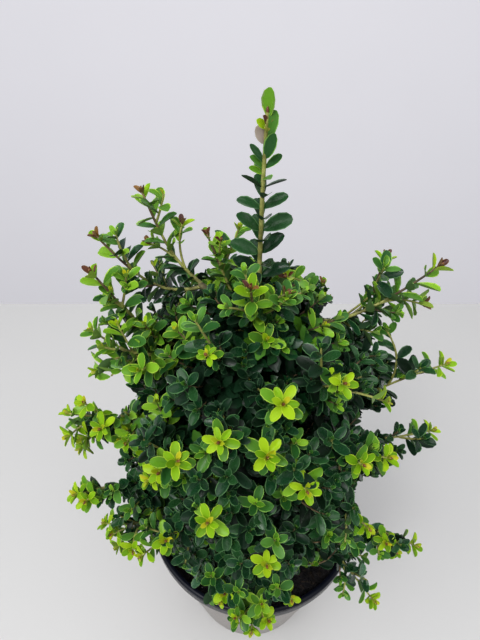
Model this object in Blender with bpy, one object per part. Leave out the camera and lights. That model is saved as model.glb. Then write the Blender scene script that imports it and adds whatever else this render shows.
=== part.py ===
"""A potted pyramidalis holly: a small bushy evergreen in a round taupe nursery pot.

The trunk runs up from the potting mix to the foot of the leader. Boughs branch from it, one
above the other, and most of them fork into two shoots. Each shoot is one mass of foliage: a
stem with side twigs and leaves fused to it, which keeps to the space nearest to its own stem.
The origin is the middle of the pot's flat underside, the photograph's view is along +Y, and
azimuths are turned from the front (-Y) towards the right (+X).
"""

import math
import random
from collections import namedtuple

import bmesh
import bpy
import numpy as np
from mathutils import Vector
from mathutils.bvhtree import BVHTree

MM = 0.001
GAP = 0.3 * MM

# Pot: a 17 cm nursery pot, turned about the Z axis
POT_HEIGHT = 158 * MM
RIM_RADIUS = 85 * MM
RIM_DEPTH = 14 * MM
RIM_ROLL = 2.6 * MM
FOOT_RADIUS = 59 * MM
FOOT_BEVEL = 2.5 * MM
WALL = 1.6 * MM
FLOOR = 2.4 * MM
POT_SIDES = 40
DRAIN_RADIUS = 5 * MM
DRAIN_CIRCLE = 42 * MM
DRAINS = 6
DRAIN_SIDES = 10

# Potting mix
SOIL_TOP = POT_HEIGHT - 24 * MM
SOIL_LUMP = 1.6 * MM
SOIL_FLAT = 14 * MM
SOIL_SIDES = 24

# Trunk
FLARE_RADIUS = 7.6 * MM
FLARE_HEIGHT = 14 * MM
TRUNK_FOOT_RADIUS = 4.8 * MM
TRUNK_TOP_RADIUS = 1.7 * MM
TRUNK_TOP = 374 * MM
TRUNK_LEAN = Vector((-1 * MM, 2 * MM, 0))
TRUNK_SWAY = Vector((2.2 * MM, -1.4 * MM, 0))
TRUNK_STEPS = 9
TRUNK_SIDES = 12
FIRST_BOUGH = SOIL_TOP + 12 * MM
LAST_BOUGH = 352 * MM

# Dense body of the crown, a rounded cone standing on its blunt end
CROWN_MIDDLE = 243 * MM
CROWN_RADIUS = 86 * MM
CROWN_UP = 134 * MM
CROWN_DOWN = 135 * MM
CROWN_POWER = 2.2

# Limbs
BOUGH_SHARE = 0.42
BOUGH_RADII = (2.3 * MM, 1.65 * MM)
STEM_RADII = (1.0 * MM, 0.55 * MM)
TWIG_RADII = (0.75 * MM, 0.5 * MM)
BOUGH_STEPS = 4
STEM_STEPS = 3
BOUGH_SIDES = 6
TWIG_SIDES = 3
FORK_AHEAD = 0.3
FORK_APART = 0.16
LOW_ARCH = 40 * MM
HIGH_ARCH = -12 * MM
LOW_TIP = 172 * MM
HIGH_TIP = 420 * MM

# Foliage
TWIGS = 3
TWIG_ANGLE = math.radians(48)
TWIG_LENGTHS = (36 * MM, 29 * MM, 22 * MM, 15 * MM)
SHORT_TWIG = 23 * MM
TWIG_OUTSIDE = 12 * MM
LEAF_LENGTH = 21 * MM
LEAF_WIDTH = 11.5 * MM
LEAF_THICKNESS = 1.0 * MM
LEAF_ANGLE = math.radians(56)
LEAF_SPACING = 15 * MM
LAST_PAIR = 0.9
ROOT_DEPTH = 0.25
TIP_SHRINK = 0.3
LEADER_LEAF = 0.78
CORE_REACH = 42 * MM
CORE_SHARE = 0.86
CORE_DEPTH = 0.64
LEAST_CORE = 7 * MM
CORE_FLOOR = POT_HEIGHT + 5 * MM
CORE_SHRINKS = (1.0, 0.9, 0.8, 0.7, 0.6, 0.5)
MARGIN = 0.7 * MM
SEED = 41

# Shoots: name, azimuth in degrees, reach from the pot's axis and height of the tip in mm.
# A bough carries one or two of them, and the last group stands on the trunk itself.
BOUGHS = {
    "bough_left_upper": [("left_tall", -110, 63, 420), ("left_second", -98, 84, 401)],
    "bough_left_middle": [("left_third", -87, 84, 390), ("left_fourth", -74, 84, 357)],
    "bough_left_wide": [("left_wide", -75, 112, 310), ("front_left_wide", -37, 85, 314)],
    "bough_left_low": [("left_low", -66, 122, 257), ("left_lower", -57, 110, 226)],
    "bough_front_left_low": [("front_left_low", -17, 91, 301), ("left_foot", -44, 103, 228)],
    "bough_front": [("front_middle", 1, 75, 339), ("front_right", 15, 81, 315)],
    "bough_front_low": [("front_low", 2, 92, 262), ("front_hem_left", -14, 95, 208)],
    "bough_front_hem": [("front_hem", -2, 99, 172), ("front_hem_right", 13, 93, 204)],
    "bough_right_upper": [("right_tall", 103, 68, 387), ("right_wide", 91, 89, 390)],
    "bough_right_middle": [("right_arm", 85, 107, 330), ("right_long", 76, 108, 290)],
    "bough_right_slope": [("right_slope", 52, 87, 304), ("right_lower", 38, 96, 270)],
    "bough_right_low": [("right_low", 59, 121, 214), ("right_foot", 42, 115, 185)],
}
ON_TRUNK = [
    ("front_top", -12, 31, 400),
    ("front_left", -16, 74, 345),
    ("front_high_left", -30, 52, 374),
    ("right_front", 35, 63, 362),
    ("right_shoulder", 36, 83, 320),
    ("front_high", 8, 60, 357),
    ("back_left_top", -128, 36, 396),
    ("back_right_top", 118, 44, 372),
]
LEADER = ("leader", 0, 0, 466)

# The side away from the photograph: boughs fork into an upper and a lower shoot
BACK_BOUGHS = 4
BACK_UPPER = {"first": 128, "last": 232, "reach": 82, "height": 338}
BACK_LOWER = {"first": 104, "last": 252, "reach": 106, "height": 208}
BACK_STAGGER = 22

BRIGHT_SHOOTS = ("left_tall", "left_second", "left_third", "back_left_top")
PLASTIC = (0.270, 0.240, 0.220, 1)
MIX = (0.030, 0.022, 0.016, 1)
BARK = (0.150, 0.110, 0.045, 1)
DARK_LEAF = (0.022, 0.080, 0.028, 1)
BRIGHT_LEAF = (0.045, 0.140, 0.026, 1)

Limb = namedtuple("Limb", "points radii")
Shoot = namedtuple("Shoot", "name limb seed")
Space = namedtuple("Space", "starts spans radii owners")


def clear_scene():
    for obj in list(bpy.data.objects):
        bpy.data.objects.remove(obj)


def material(name, colour, roughness, metallic=0.0):
    made = bpy.data.materials.new(name)
    made.use_nodes = True
    shader = made.node_tree.nodes["Principled BSDF"]
    shader.inputs["Base Color"].default_value = colour
    shader.inputs["Roughness"].default_value = roughness
    shader.inputs["Metallic"].default_value = metallic
    return made


def add_object(name, points, faces, finish):
    mesh = bpy.data.meshes.new(name)
    mesh.from_pydata([tuple(p) for p in points], [], faces)
    mesh.validate()
    obj = bpy.data.objects.new(name, mesh)
    bpy.context.scene.collection.objects.link(obj)
    mesh.materials.append(finish)
    return obj


def polar(azimuth, reach, height):
    """The point at this azimuth in degrees, reach from the axis and height above the ground."""
    turn = math.radians(azimuth)
    return Vector((reach * math.sin(turn), -reach * math.cos(turn), height))


def crown_radius(height):
    """Radius of the crown's dense body at this height, 0 above and below it."""
    span = CROWN_UP if height > CROWN_MIDDLE else CROWN_DOWN
    share = abs(height - CROWN_MIDDLE) / span
    return CROWN_RADIUS * math.sqrt(max(0.0, 1 - share**CROWN_POWER))


def bezier(start, control, end, share):
    rest = 1 - share
    return start * rest * rest + control * 2 * rest * share + end * share * share


def curved_limb(start, control, end, radii, steps):
    shares = [i / steps for i in range(steps + 1)]
    points = [bezier(start, control, end, s) for s in shares]
    return Limb(points, [radii[0] + (radii[1] - radii[0]) * s for s in shares])


def along_limb(limb, share):
    """(point, direction, radius) at this share of the limb's length in steps."""
    place = share * (len(limb.points) - 1)
    i = min(int(place), len(limb.points) - 2)
    rest = place - i
    point = limb.points[i].lerp(limb.points[i + 1], rest)
    direction = (limb.points[i + 1] - limb.points[i]).normalized()
    return point, direction, limb.radii[i] + (limb.radii[i + 1] - limb.radii[i]) * rest


def across(direction):
    """A unit vector across this direction, as near to level as can be."""
    side = direction.cross(Vector((0, 0, 1)))
    return side.normalized() if side.length > 0.05 else Vector((1, 0, 0))


def tube(limb, sides):
    """Points and faces of a closed tube round the limb, with flat ends."""
    points, faces = [], []
    side = across(limb.points[1] - limb.points[0])
    last = len(limb.points) - 1
    for i, (centre, radius) in enumerate(zip(limb.points, limb.radii)):
        ahead = limb.points[min(i + 1, last)] - limb.points[max(i - 1, 0)]
        ahead.normalize()
        side = (side - ahead * side.dot(ahead)).normalized()
        other = ahead.cross(side)
        for k in range(sides):
            turn = math.tau * k / sides
            points.append(centre + (side * math.cos(turn) + other * math.sin(turn)) * radius)
    for i in range(last):
        for k in range(sides):
            a, b = i * sides + k, i * sides + (k + 1) % sides
            faces.append((a, b, b + sides, a + sides))
    faces.append(tuple(reversed(range(sides))))
    faces.append(tuple(range(last * sides, (last + 1) * sides)))
    return points, faces


def leaf(base, along, upper, length, width, thickness):
    """Points and faces of a leaf: pointed at its root, blunt at its tip, raised at the midrib."""
    side = along.cross(upper).normalized()
    face = side.cross(along).normalized()
    broad, blunt = base + along * length * 0.42, base + along * length * 0.96
    points = [
        base,
        broad + side * width * 0.5,
        blunt + side * width * 0.2,
        blunt - side * width * 0.2,
        broad - side * width * 0.5,
        base + along * length * 0.55 + face * thickness,
    ]
    faces = [(k, (k + 1) % 5, 5) for k in range(5)]
    return points, faces + [(0, 4, 3, 2, 1)]


def ball_directions():
    """Directions and faces of a rounded cube with a corner in the middle of each side and edge."""
    steps = (-1, 0, 1)
    corners = [(x, y, z) for x in steps for y in steps for z in steps if (x, y, z) != (0, 0, 0)]
    index = {corner: k for k, corner in enumerate(corners)}
    ring = [(1, 0), (1, 1), (0, 1), (-1, 1), (-1, 0), (-1, -1), (0, -1), (1, -1)]
    faces = []
    for axis in range(3):
        for sign in (1, -1):
            loop = []
            for u, v in ring[::sign]:
                corner = [0, 0, 0]
                corner[axis], corner[(axis + 1) % 3], corner[(axis + 2) % 3] = sign, u, v
                loop.append(index[tuple(corner)])
            middle = [0, 0, 0]
            middle[axis] = sign
            faces += [(a, b, index[tuple(middle)]) for a, b in zip(loop, loop[1:] + loop[:1])]
    return [Vector(corner).normalized() for corner in corners], faces


def turned(name, outline, sides, finish):
    """A solid turned about the Z axis from (radius, height) points that start and end on it."""
    points, faces, rings = [], [], []
    for radius, height in outline:
        if radius < 1e-9:
            rings.append([len(points)])
            points.append(Vector((0, 0, height)))
            continue
        rings.append(list(range(len(points), len(points) + sides)))
        for k in range(sides):
            turn = math.tau * k / sides
            points.append(Vector((radius * math.cos(turn), radius * math.sin(turn), height)))
    for low, high in zip(rings, rings[1:]):
        for k in range(sides):
            a, b = k % len(low), (k + 1) % len(low)
            c, d = (k + 1) % len(high), k % len(high)
            corners = [low[a], low[b], high[c], high[d]]
            faces.append(tuple(dict.fromkeys(corners)))
    return add_object(name, points, faces, finish)


def pot_outline():
    """The pot's section: underside, outer wall, rolled rim, inner wall and floor."""
    under_rim = POT_HEIGHT - RIM_DEPTH
    neck = RIM_RADIUS - 3.4 * MM
    lip = POT_HEIGHT - RIM_ROLL
    roll_centre = RIM_RADIUS - RIM_ROLL
    outline = [(0, 0), (FOOT_RADIUS - FOOT_BEVEL, 0), (FOOT_RADIUS, FOOT_BEVEL)]
    outline += [(neck, under_rim), (RIM_RADIUS - 0.6 * MM, under_rim + 1 * MM)]
    for step in range(5):
        turn = math.pi * step / 4
        outline.append((roll_centre + RIM_ROLL * math.cos(turn), lip + RIM_ROLL * math.sin(turn)))
    outline += [(neck - WALL, under_rim), (FOOT_RADIUS - WALL, FLOOR), (0, FLOOR)]
    return outline


def inner_radius(height):
    """Radius of the pot's inner wall, below the rim."""
    top, foot = POT_HEIGHT - RIM_DEPTH, FLOOR
    share = (height - foot) / (top - foot)
    narrow, wide = FOOT_RADIUS - WALL, RIM_RADIUS - 3.4 * MM - WALL
    return narrow + (wide - narrow) * share


def make_pot(finish):
    pot = turned("pot", pot_outline(), POT_SIDES, finish)
    cutters = []
    for k in range(DRAINS):
        place = polar(360 * k / DRAINS, DRAIN_CIRCLE, 0)
        ends = [place - Vector((0, 0, 2 * FLOOR)), place + Vector((0, 0, 3 * FLOOR))]
        hole = Limb(ends, [DRAIN_RADIUS, DRAIN_RADIUS])
        cutters.append(add_object(f"drain_{k}", *tube(hole, DRAIN_SIDES), finish))
    fuse(pot, cutters, "DIFFERENCE")
    pot.data.shade_smooth()
    pot.data.set_sharp_from_angle(angle=math.radians(30))
    return pot


def soil_height(x, y):
    """A gentle lumpy surface, level round the trunk's foot."""
    lump = math.sin(x * 190 + 1) * math.cos(y * 230) + 0.6 * math.sin(x * 410 - y * 350)
    ease = min(1.0, max(0.0, (math.hypot(x, y) - SOIL_FLAT) / SOIL_FLAT))
    return SOIL_TOP + SOIL_LUMP * lump * ease


def make_soil(finish):
    """The potting mix that fills the pot, a little clear of its wall and floor."""
    bottom = FLOOR + GAP
    outer = inner_radius(SOIL_TOP) - 3 * GAP
    outline = [(0, bottom), (inner_radius(bottom) - 3 * GAP, bottom), (outer, SOIL_TOP)]
    outline += [(outer * share, SOIL_TOP) for share in (0.8, 0.6, 0.4)]
    outline += [(SOIL_FLAT, SOIL_TOP), (0, SOIL_TOP)]
    soil = turned("potting_mix", outline, SOIL_SIDES, finish)
    for v in soil.data.vertices:
        on_top = v.co.z > SOIL_TOP - MM
        inside = math.hypot(v.co.x, v.co.y) < outer - MM
        if on_top and inside:
            v.co.z = soil_height(v.co.x, v.co.y)
    return soil


def trunk_point(height):
    share = (height - SOIL_TOP) / (TRUNK_TOP - SOIL_TOP)
    shift = TRUNK_LEAN * share + TRUNK_SWAY * math.sin(math.pi * share)
    return Vector((shift.x, shift.y, height))


def trunk_radius(height):
    share = (height - SOIL_TOP) / (TRUNK_TOP - SOIL_TOP)
    radius = TRUNK_FOOT_RADIUS + (TRUNK_TOP_RADIUS - TRUNK_FOOT_RADIUS) * share
    flare = max(0.0, 1 - (height - SOIL_TOP) / FLARE_HEIGHT)
    return radius + (FLARE_RADIUS - TRUNK_FOOT_RADIUS) * flare * flare


def trunk_limb():
    foot = SOIL_TOP + GAP
    heights = [foot, foot + FLARE_HEIGHT / 3, foot + FLARE_HEIGHT]
    step = (TRUNK_TOP - heights[-1]) / TRUNK_STEPS
    heights += [heights[-1] + step * (i + 1) for i in range(TRUNK_STEPS)]
    return Limb([trunk_point(h) for h in heights], [trunk_radius(h) for h in heights])


def from_trunk(origin_height, control, radius):
    """Where a limb's centre line starts so that its flat end stays just clear of the trunk."""
    origin = trunk_point(origin_height)
    direction = (control - origin).normalized()
    level = math.hypot(direction.x, direction.y)
    wall = trunk_radius(origin_height) + GAP + 0.9 * radius * abs(direction.z)
    return origin + direction * (wall / level)


def arch(tip_height):
    """How far a shoot's path bows up, for a low one, or sags under its chord, for a high one."""
    share = (tip_height - LOW_TIP) / (HIGH_TIP - LOW_TIP)
    return LOW_ARCH + (HIGH_ARCH - LOW_ARCH) * min(1.0, max(0.0, share))


def shoot_path(origin_height, tip, radii, steps, share):
    """The first part of the curve from the trunk to a shoot's tip, up to this share of it."""
    origin = trunk_point(origin_height)
    control = origin.lerp(tip, 0.55) + Vector((0, 0, arch(tip.z)))
    start = from_trunk(origin_height, control, radii[0])
    points = [bezier(start, control, tip, share * i / steps) for i in range(steps + 1)]
    taper = [radii[0] + (radii[1] - radii[0]) * i / steps for i in range(steps + 1)]
    return Limb(points, taper)


def fork_stem(bough, tip, other_tip):
    """A shoot's stem from its bough's end: beside the other shoot's, then off to its own tip."""
    end, along, _ = along_limb(bough, 1.0)
    start = end + along * GAP
    apart = Vector()
    if other_tip is not None:
        apart = tip - other_tip
        apart -= along * apart.dot(along)
        apart.normalize()
    start += apart * (STEM_RADII[0] + GAP)
    control = start + (along * FORK_AHEAD + apart * FORK_APART) * (tip - start).length
    return curved_limb(start, control, tip, STEM_RADII, STEM_STEPS)


def back_shoots():
    """The boughs away from the photograph, set round evenly and staggered in height."""
    made = {}
    for k in range(BACK_BOUGHS):
        made[f"bough_back_{k}"] = []
        for level, row, lift in (("upper", BACK_UPPER, 1), ("lower", BACK_LOWER, -1.3)):
            lift *= BACK_STAGGER * (1 if k % 2 else -1)
            azimuth = row["first"] + (row["last"] - row["first"]) * k / (BACK_BOUGHS - 1)
            place = (azimuth, row["reach"] - lift / 4, row["height"] + lift)
            made[f"bough_back_{k}"].append((f"back_{level}_{k}", *place))
    return made


def plan():
    """(boughs by name, shoots): every limb's centre line, before any leaf is placed."""
    groups = {name: list(rows) for name, rows in {**BOUGHS, **back_shoots()}.items()}
    for row in ON_TRUNK:
        groups[row[0]] = [row]
    mean = {name: sum(row[3] for row in rows) / len(rows) for name, rows in groups.items()}
    order = sorted(groups, key=lambda name: mean[name])
    boughs, shoots = {}, []
    direct = {row[0] for row in ON_TRUNK}
    for slot, name in enumerate(order):
        rows = groups[name]
        height = FIRST_BOUGH + (LAST_BOUGH - FIRST_BOUGH) * slot / (len(order) - 1)
        tips = [polar(row[1], row[2] * MM, row[3] * MM) for row in rows]
        if name in direct:
            limb = shoot_path(height, tips[0], STEM_RADII, STEM_STEPS, 1.0)
            shoots.append(Shoot(name, limb, SEED + len(shoots)))
            continue
        middle = sum(tips, Vector()) / len(tips)
        bough = shoot_path(height, middle, BOUGH_RADII, BOUGH_STEPS, BOUGH_SHARE)
        boughs[name] = bough
        for row, tip in zip(rows, tips):
            others = [t for t in tips if t is not tip]
            limb = fork_stem(bough, tip, others[0] if others else None)
            shoots.append(Shoot(row[0], limb, SEED + len(shoots)))
    top = trunk_point(TRUNK_TOP) + Vector((0, 0, GAP))
    tip = polar(LEADER[1], LEADER[2] * MM, LEADER[3] * MM)
    limb = curved_limb(top, top.lerp(tip, 0.5) + Vector((-1 * MM, 0, 0)), tip, STEM_RADII, STEM_STEPS)
    shoots.append(Shoot(LEADER[0], limb, SEED + len(shoots)))
    return boughs, shoots


def space_of(limbs):
    """Every limb's straight pieces, with their radii and the number of the limb of each."""
    starts, spans, radii, owners = [], [], [], []
    for number, limb in enumerate(limbs):
        for k in range(len(limb.points) - 1):
            starts.append(limb.points[k])
            spans.append(limb.points[k + 1] - limb.points[k])
            radii.append(max(limb.radii[k], limb.radii[k + 1]))
            owners.append(number)
    return Space(np.array(starts), np.array(spans), np.array(radii), np.array(owners))


def distances(points, space):
    """The distance of each point from each straight piece's centre line."""
    away = np.array(points)[:, None, :] - space.starts
    share = (away * space.spans).sum(axis=2) / (space.spans**2).sum(axis=1)
    away -= np.clip(share, 0, 1)[:, :, None] * space.spans
    return np.sqrt((away**2).sum(axis=2))


def in_own_space(points, number, space):
    """Whether every point is nearer to its own stem than to any other, by the margin."""
    away = distances(points, space)
    own = space.owners == number
    return bool((away[:, ~own].min(axis=1) - away[:, own].min(axis=1) > 2 * MARGIN).all())


def clear_of(points, space):
    """Whether every point is clear of the limbs' surfaces, by the margin."""
    return bool((distances(points, space) - space.radii > 2 * MARGIN).all())


def samples(points, faces):
    """A piece's corners and the middles of its faces."""
    middles = [sum((points[i] for i in face), Vector()) / len(face) for face in faces]
    return list(points) + middles


def swollen(points, amount):
    """The piece's points moved out from its middle by this distance."""
    middle = sum(points, Vector()) / len(points)
    return [p + (p - middle).normalized() * amount for p in points]


def touches(points, faces, guards):
    piece = BVHTree.FromPolygons(swollen(points, MARGIN), faces)
    return any(piece.overlap(guard) for guard in guards)


def twig_limbs(number, shoots, space, guards):
    """Side twigs: they leave the stem in turn to several sides, as long as their space lets."""
    shoot = shoots[number]
    chance = random.Random(shoot.seed)
    made = []
    for k in range(TWIGS):
        share = 0.2 + 0.55 * k / (TWIGS - 1) + chance.uniform(-0.04, 0.04)
        turn = math.radians(360 * k / TWIGS + 60 + chance.uniform(-30, 30))
        start, along, _ = along_limb(shoot.limb, share)
        side = across(along)
        side = side * math.cos(turn) + along.cross(side) * math.sin(turn)
        heading = along * math.cos(TWIG_ANGLE) + side * math.sin(TWIG_ANGLE)
        for length in TWIG_LENGTHS:
            end = start + heading * length + Vector((0, 0, length * 0.18))
            limb = Limb([start, end], TWIG_RADII)
            piece = tube(limb, TWIG_SIDES)
            too_far = math.hypot(end.x, end.y) > crown_radius(end.z) + TWIG_OUTSIDE
            if length > SHORT_TWIG and too_far:
                continue
            if not in_own_space(samples(*piece), number, space):
                continue
            if not touches(*piece, guards):
                made.append(limb)
                break
    return made


def leaf_places(limb, first, scale, chance):
    """(base, direction, upper side, size) of the leaf at the limb's end and of pairs behind it."""
    length = sum((b - a).length for a, b in zip(limb.points, limb.points[1:]))
    pairs = 1 + max(0, int(length * (LAST_PAIR - first) / (LEAF_SPACING * scale)))
    end, along, _ = along_limb(limb, 1.0)
    size = scale * (1 - TIP_SHRINK)
    tilt = across(along).lerp(Vector((0.31, -0.42, 0.85)), chance.uniform(0.4, 0.6))
    places = [(end - along * LEAF_LENGTH * size * 0.45, along, tilt, size)]
    for k in range(pairs):
        share = LAST_PAIR - k * LEAF_SPACING * scale / length
        base, along, radius = along_limb(limb, share)
        side = across(along)
        turn = math.pi / 2 * k + chance.uniform(-0.35, 0.35)
        side = side * math.cos(turn) + along.cross(side) * math.sin(turn)
        angle = LEAF_ANGLE - 0.35 * share
        for sign in (1, -1):
            out = along * math.cos(angle) + side * sign * math.sin(angle)
            upper = along * math.sin(angle) - side * sign * math.cos(angle)
            size = scale * chance.uniform(0.9, 1.1) * (1 - TIP_SHRINK * share**2)
            root = base - out * radius * ROOT_DEPTH
            places.append((root, out, upper + Vector((0, 0, 0.35)), size))
    return places


def leaves_on(limb, first, scale, number, shoots, space, guards, grown):
    """The limb's leaves that keep to the shoot's space and clear of the leaves grown before."""
    chance = random.Random(shoots[number].seed + len(grown))
    for base, out, upper, size in leaf_places(limb, first, scale, chance):
        length, width = LEAF_LENGTH * size, LEAF_WIDTH * size
        piece = leaf(base, out, upper, length, width, LEAF_THICKNESS)
        blade = leaf(base + out * length / 4, out, upper, length * 3 / 4, width, LEAF_THICKNESS)
        if not in_own_space(samples(*piece), number, space) or touches(*piece, guards):
            continue
        skin = BVHTree.FromPolygons(*blade)
        if not any(skin.overlap(other) for _, other in grown):
            grown.append((piece, skin))


def in_body(point):
    inner = crown_radius(point.z) * CORE_SHARE
    return point.z > CORE_FLOOR and math.hypot(point.x, point.y) < inner


def core_reach(centre, direction, number, space, wood):
    """How far the core may reach in this direction before it leaves the body or its space."""
    low, high = 0.0, CORE_REACH
    for _ in range(5):
        middle = (low + high) / 2
        point = centre + direction * middle
        if in_body(point) and in_own_space([point], number, space) and clear_of([point], wood):
            low = middle
        else:
            high = middle
    return low


def crown_core(number, shoots, space, guards, wood):
    """A lump round the stem inside the crown's body, as far as its space lets."""
    limb = shoots[number].limb
    places = [along_limb(limb, 0.05 * k)[0] for k in range(1, 15)]
    places = [p for p in places if in_body(p)]
    if not places:
        return []
    inner = [p for p in places if math.hypot(p.x, p.y) < crown_radius(p.z) * CORE_DEPTH]
    centre = inner[-1] if inner else places[0]
    directions, faces = ball_directions()
    reaches = [core_reach(centre, d, number, space, wood) for d in directions]
    if sum(reaches) < LEAST_CORE * len(reaches):
        return []
    for shrink in CORE_SHRINKS:
        points = [centre + d * r * shrink for d, r in zip(directions, reaches)]
        if in_own_space(samples(points, faces), number, space) and not touches(points, faces, guards):
            return [(points, faces)]
    return []


def remove(obj):
    mesh = obj.data
    bpy.data.objects.remove(obj)
    bpy.data.meshes.remove(mesh)


def fuse(obj, others, operation):
    """Joins the others to obj, or cuts them from it, by one applied Boolean, and removes them.

    Returns whether the result is closed.
    """
    for solver in ("EXACT", "MANIFOLD"):
        made = boolean_mesh(obj, others, operation, solver)
        whole = closed(made)
        if whole:
            break
    old = obj.data
    obj.data = made
    bpy.data.meshes.remove(old)
    for other in others:
        remove(other)
    return whole


def boolean_mesh(obj, others, operation, solver):
    group = bpy.data.collections.new("fuse")
    for other in others:
        group.objects.link(other)
    modifier = obj.modifiers.new("Join", "BOOLEAN")
    modifier.operation = operation
    modifier.operand_type = "COLLECTION"
    modifier.collection = group
    modifier.solver = solver
    graph = bpy.context.evaluated_depsgraph_get()
    made = bpy.data.meshes.new_from_object(obj.evaluated_get(graph))
    obj.modifiers.remove(modifier)
    bpy.data.collections.remove(group)
    keep_largest(made)
    return made


def keep_largest(mesh):
    """Drops every scrap and sealed hollow, so that one closed skin is left."""
    work = bmesh.new()
    work.from_mesh(mesh)
    bmesh.ops.remove_doubles(work, verts=work.verts, dist=0.002 * MM)
    bmesh.ops.dissolve_degenerate(work, edges=work.edges, dist=0.002 * MM)
    bmesh.ops.triangulate(work, faces=work.faces)
    left, groups = set(work.faces), []
    while left:
        group, queue = set(), [left.pop()]
        while queue:
            face = queue.pop()
            group.add(face)
            near = {f for edge in face.edges for f in edge.link_faces} & left
            left -= near
            queue.extend(near)
        groups.append(group)
    largest = max(groups, key=len)
    scraps = [face for group in groups if group is not largest for face in group]
    bmesh.ops.delete(work, geom=scraps, context="FACES")
    work.to_mesh(mesh)
    work.free()


def closed(mesh):
    work = bmesh.new()
    work.from_mesh(mesh)
    whole = bool(work.faces) and all(edge.is_manifold for edge in work.edges)
    work.free()
    return whole


def guard_of(pieces):
    points, faces = [], []
    for piece_points, piece_faces in pieces:
        shift = len(points)
        points += piece_points
        faces += [tuple(i + shift for i in face) for face in piece_faces]
    return BVHTree.FromPolygons(points, faces)


def foliage_pieces(number, shoots, space, guards, wood):
    """Everything that is fused into one shoot, its stem first."""
    shoot = shoots[number]
    place = (number, shoots, space, guards)
    stem = tube(shoot.limb, TWIG_SIDES)
    if shoot.name == LEADER[0]:
        grown = []
        leaves_on(shoot.limb, 0.06, LEADER_LEAF, *place, grown)
        return [stem] + [piece for piece, _ in grown]
    grown = [(piece, guard_of([piece])) for piece in crown_core(*place, wood)]
    leaves_on(shoot.limb, 0.3, 1.0, *place, grown)
    twigs = twig_limbs(*place)
    for twig in twigs:
        leaves_on(twig, 0.5, 1.0, *place, grown)
    return [stem] + [tube(twig, TWIG_SIDES) for twig in twigs] + [piece for piece, _ in grown]


def make_shoot(shoot, pieces, finish):
    """One solid of the pieces, made with fewer leaves where all of them can't be joined."""
    for fewer in range(len(pieces) // 2):
        stem = add_object(shoot.name, *pieces[0], finish)
        kept = enumerate(pieces[1 : len(pieces) - fewer])
        others = [add_object(f"{shoot.name}_{k}", *piece, finish) for k, piece in kept]
        if fuse(stem, others, "UNION"):
            return stem
        remove(stem)
    return None


def main():
    clear_scene()
    taupe = material("taupe_plastic", PLASTIC, 0.35)
    soil = material("potting_mix", MIX, 0.95)
    bark = material("bark", BARK, 0.8)
    dark = material("dark_leaf", DARK_LEAF, 0.35)
    bright = material("bright_leaf", BRIGHT_LEAF, 0.4)
    make_pot(taupe)
    make_soil(soil)
    boughs, shoots = plan()
    trunk = tube(trunk_limb(), TRUNK_SIDES)
    add_object("trunk", *trunk, bark)
    wood = [trunk]
    for name, limb in boughs.items():
        piece = tube(limb, BOUGH_SIDES)
        add_object(name, *piece, bark)
        wood.append(piece)
    rim = Limb([Vector((0, 0, -MM)), Vector((0, 0, POT_HEIGHT + 2 * MM))], [RIM_RADIUS + MM] * 2)
    guards = [guard_of(wood), guard_of([tube(rim, POT_SIDES)])]
    space = space_of([shoot.limb for shoot in shoots])
    limbs = space_of([trunk_limb(), *boughs.values()])
    for number, shoot in enumerate(shoots):
        pieces = foliage_pieces(number, shoots, space, guards, limbs)
        make_shoot(shoot, pieces, bright if shoot.name in BRIGHT_SHOOTS else dark)
        guards.append(guard_of(pieces))


main()
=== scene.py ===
"""A potted pyramidalis holly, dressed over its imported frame.

The limbs follow the same rule and seeds as the solids: boughs climb the trunk one above the
other, most of them fork into two shoots, and side twigs leave each shoot in turn. Here the rule
is carried on to fine twigs that end all over the crown's body, with leaves in crossed pairs of
about their real size. Azimuths are turned from the front (-Y) towards the right (+X).
"""

import math
import random
from collections import namedtuple

import bpy
import numpy as np
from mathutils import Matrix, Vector


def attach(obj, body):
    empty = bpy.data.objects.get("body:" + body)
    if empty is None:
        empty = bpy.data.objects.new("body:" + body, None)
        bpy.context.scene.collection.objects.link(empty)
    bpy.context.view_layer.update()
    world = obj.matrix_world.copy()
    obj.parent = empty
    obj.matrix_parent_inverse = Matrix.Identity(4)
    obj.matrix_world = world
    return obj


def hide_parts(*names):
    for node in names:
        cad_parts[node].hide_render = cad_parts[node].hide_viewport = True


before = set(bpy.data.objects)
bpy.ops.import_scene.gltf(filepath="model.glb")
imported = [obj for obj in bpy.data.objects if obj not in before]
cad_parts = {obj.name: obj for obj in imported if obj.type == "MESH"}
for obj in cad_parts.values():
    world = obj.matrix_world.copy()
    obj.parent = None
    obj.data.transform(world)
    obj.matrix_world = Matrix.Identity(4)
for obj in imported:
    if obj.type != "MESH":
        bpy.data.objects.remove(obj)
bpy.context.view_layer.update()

MM = 0.001
UP = Vector((0, 0, 1))

# Pot and potting mix
POT_HEIGHT = 158 * MM
RIM_RADIUS = 85 * MM
RIM_DEPTH = 14 * MM
NECK_RADIUS = RIM_RADIUS - 3.4 * MM
FOOT_ROUND = 2.5 * MM
BEAD = 1.1 * MM
BAND_ROUND = 1.6 * MM
LIP = 2.2 * MM
FOOT_RADIUS = 59 * MM
WALL = 1.6 * MM
FLOOR = 2.4 * MM
POT_SIDES = 128
SOIL_TOP = POT_HEIGHT - 24 * MM
SOIL_FOOT = 4.5 * MM
SOIL_GRID = (46, 150)

# Loose pieces on the mix: finish, count, size, flatness, seed and lift in mm
CHIPS = {
    "soil_crumbs": ("potting_mix", 2600, 1.5 * MM, 0.7, 5, 0.4),
    "bark_pieces": ("bark_chips", 420, 3.2 * MM, 0.4, 6, 0.4),
    "grit": ("pale_specks", 130, 0.9 * MM, 0.8, 7, 1.0),
}

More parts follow.
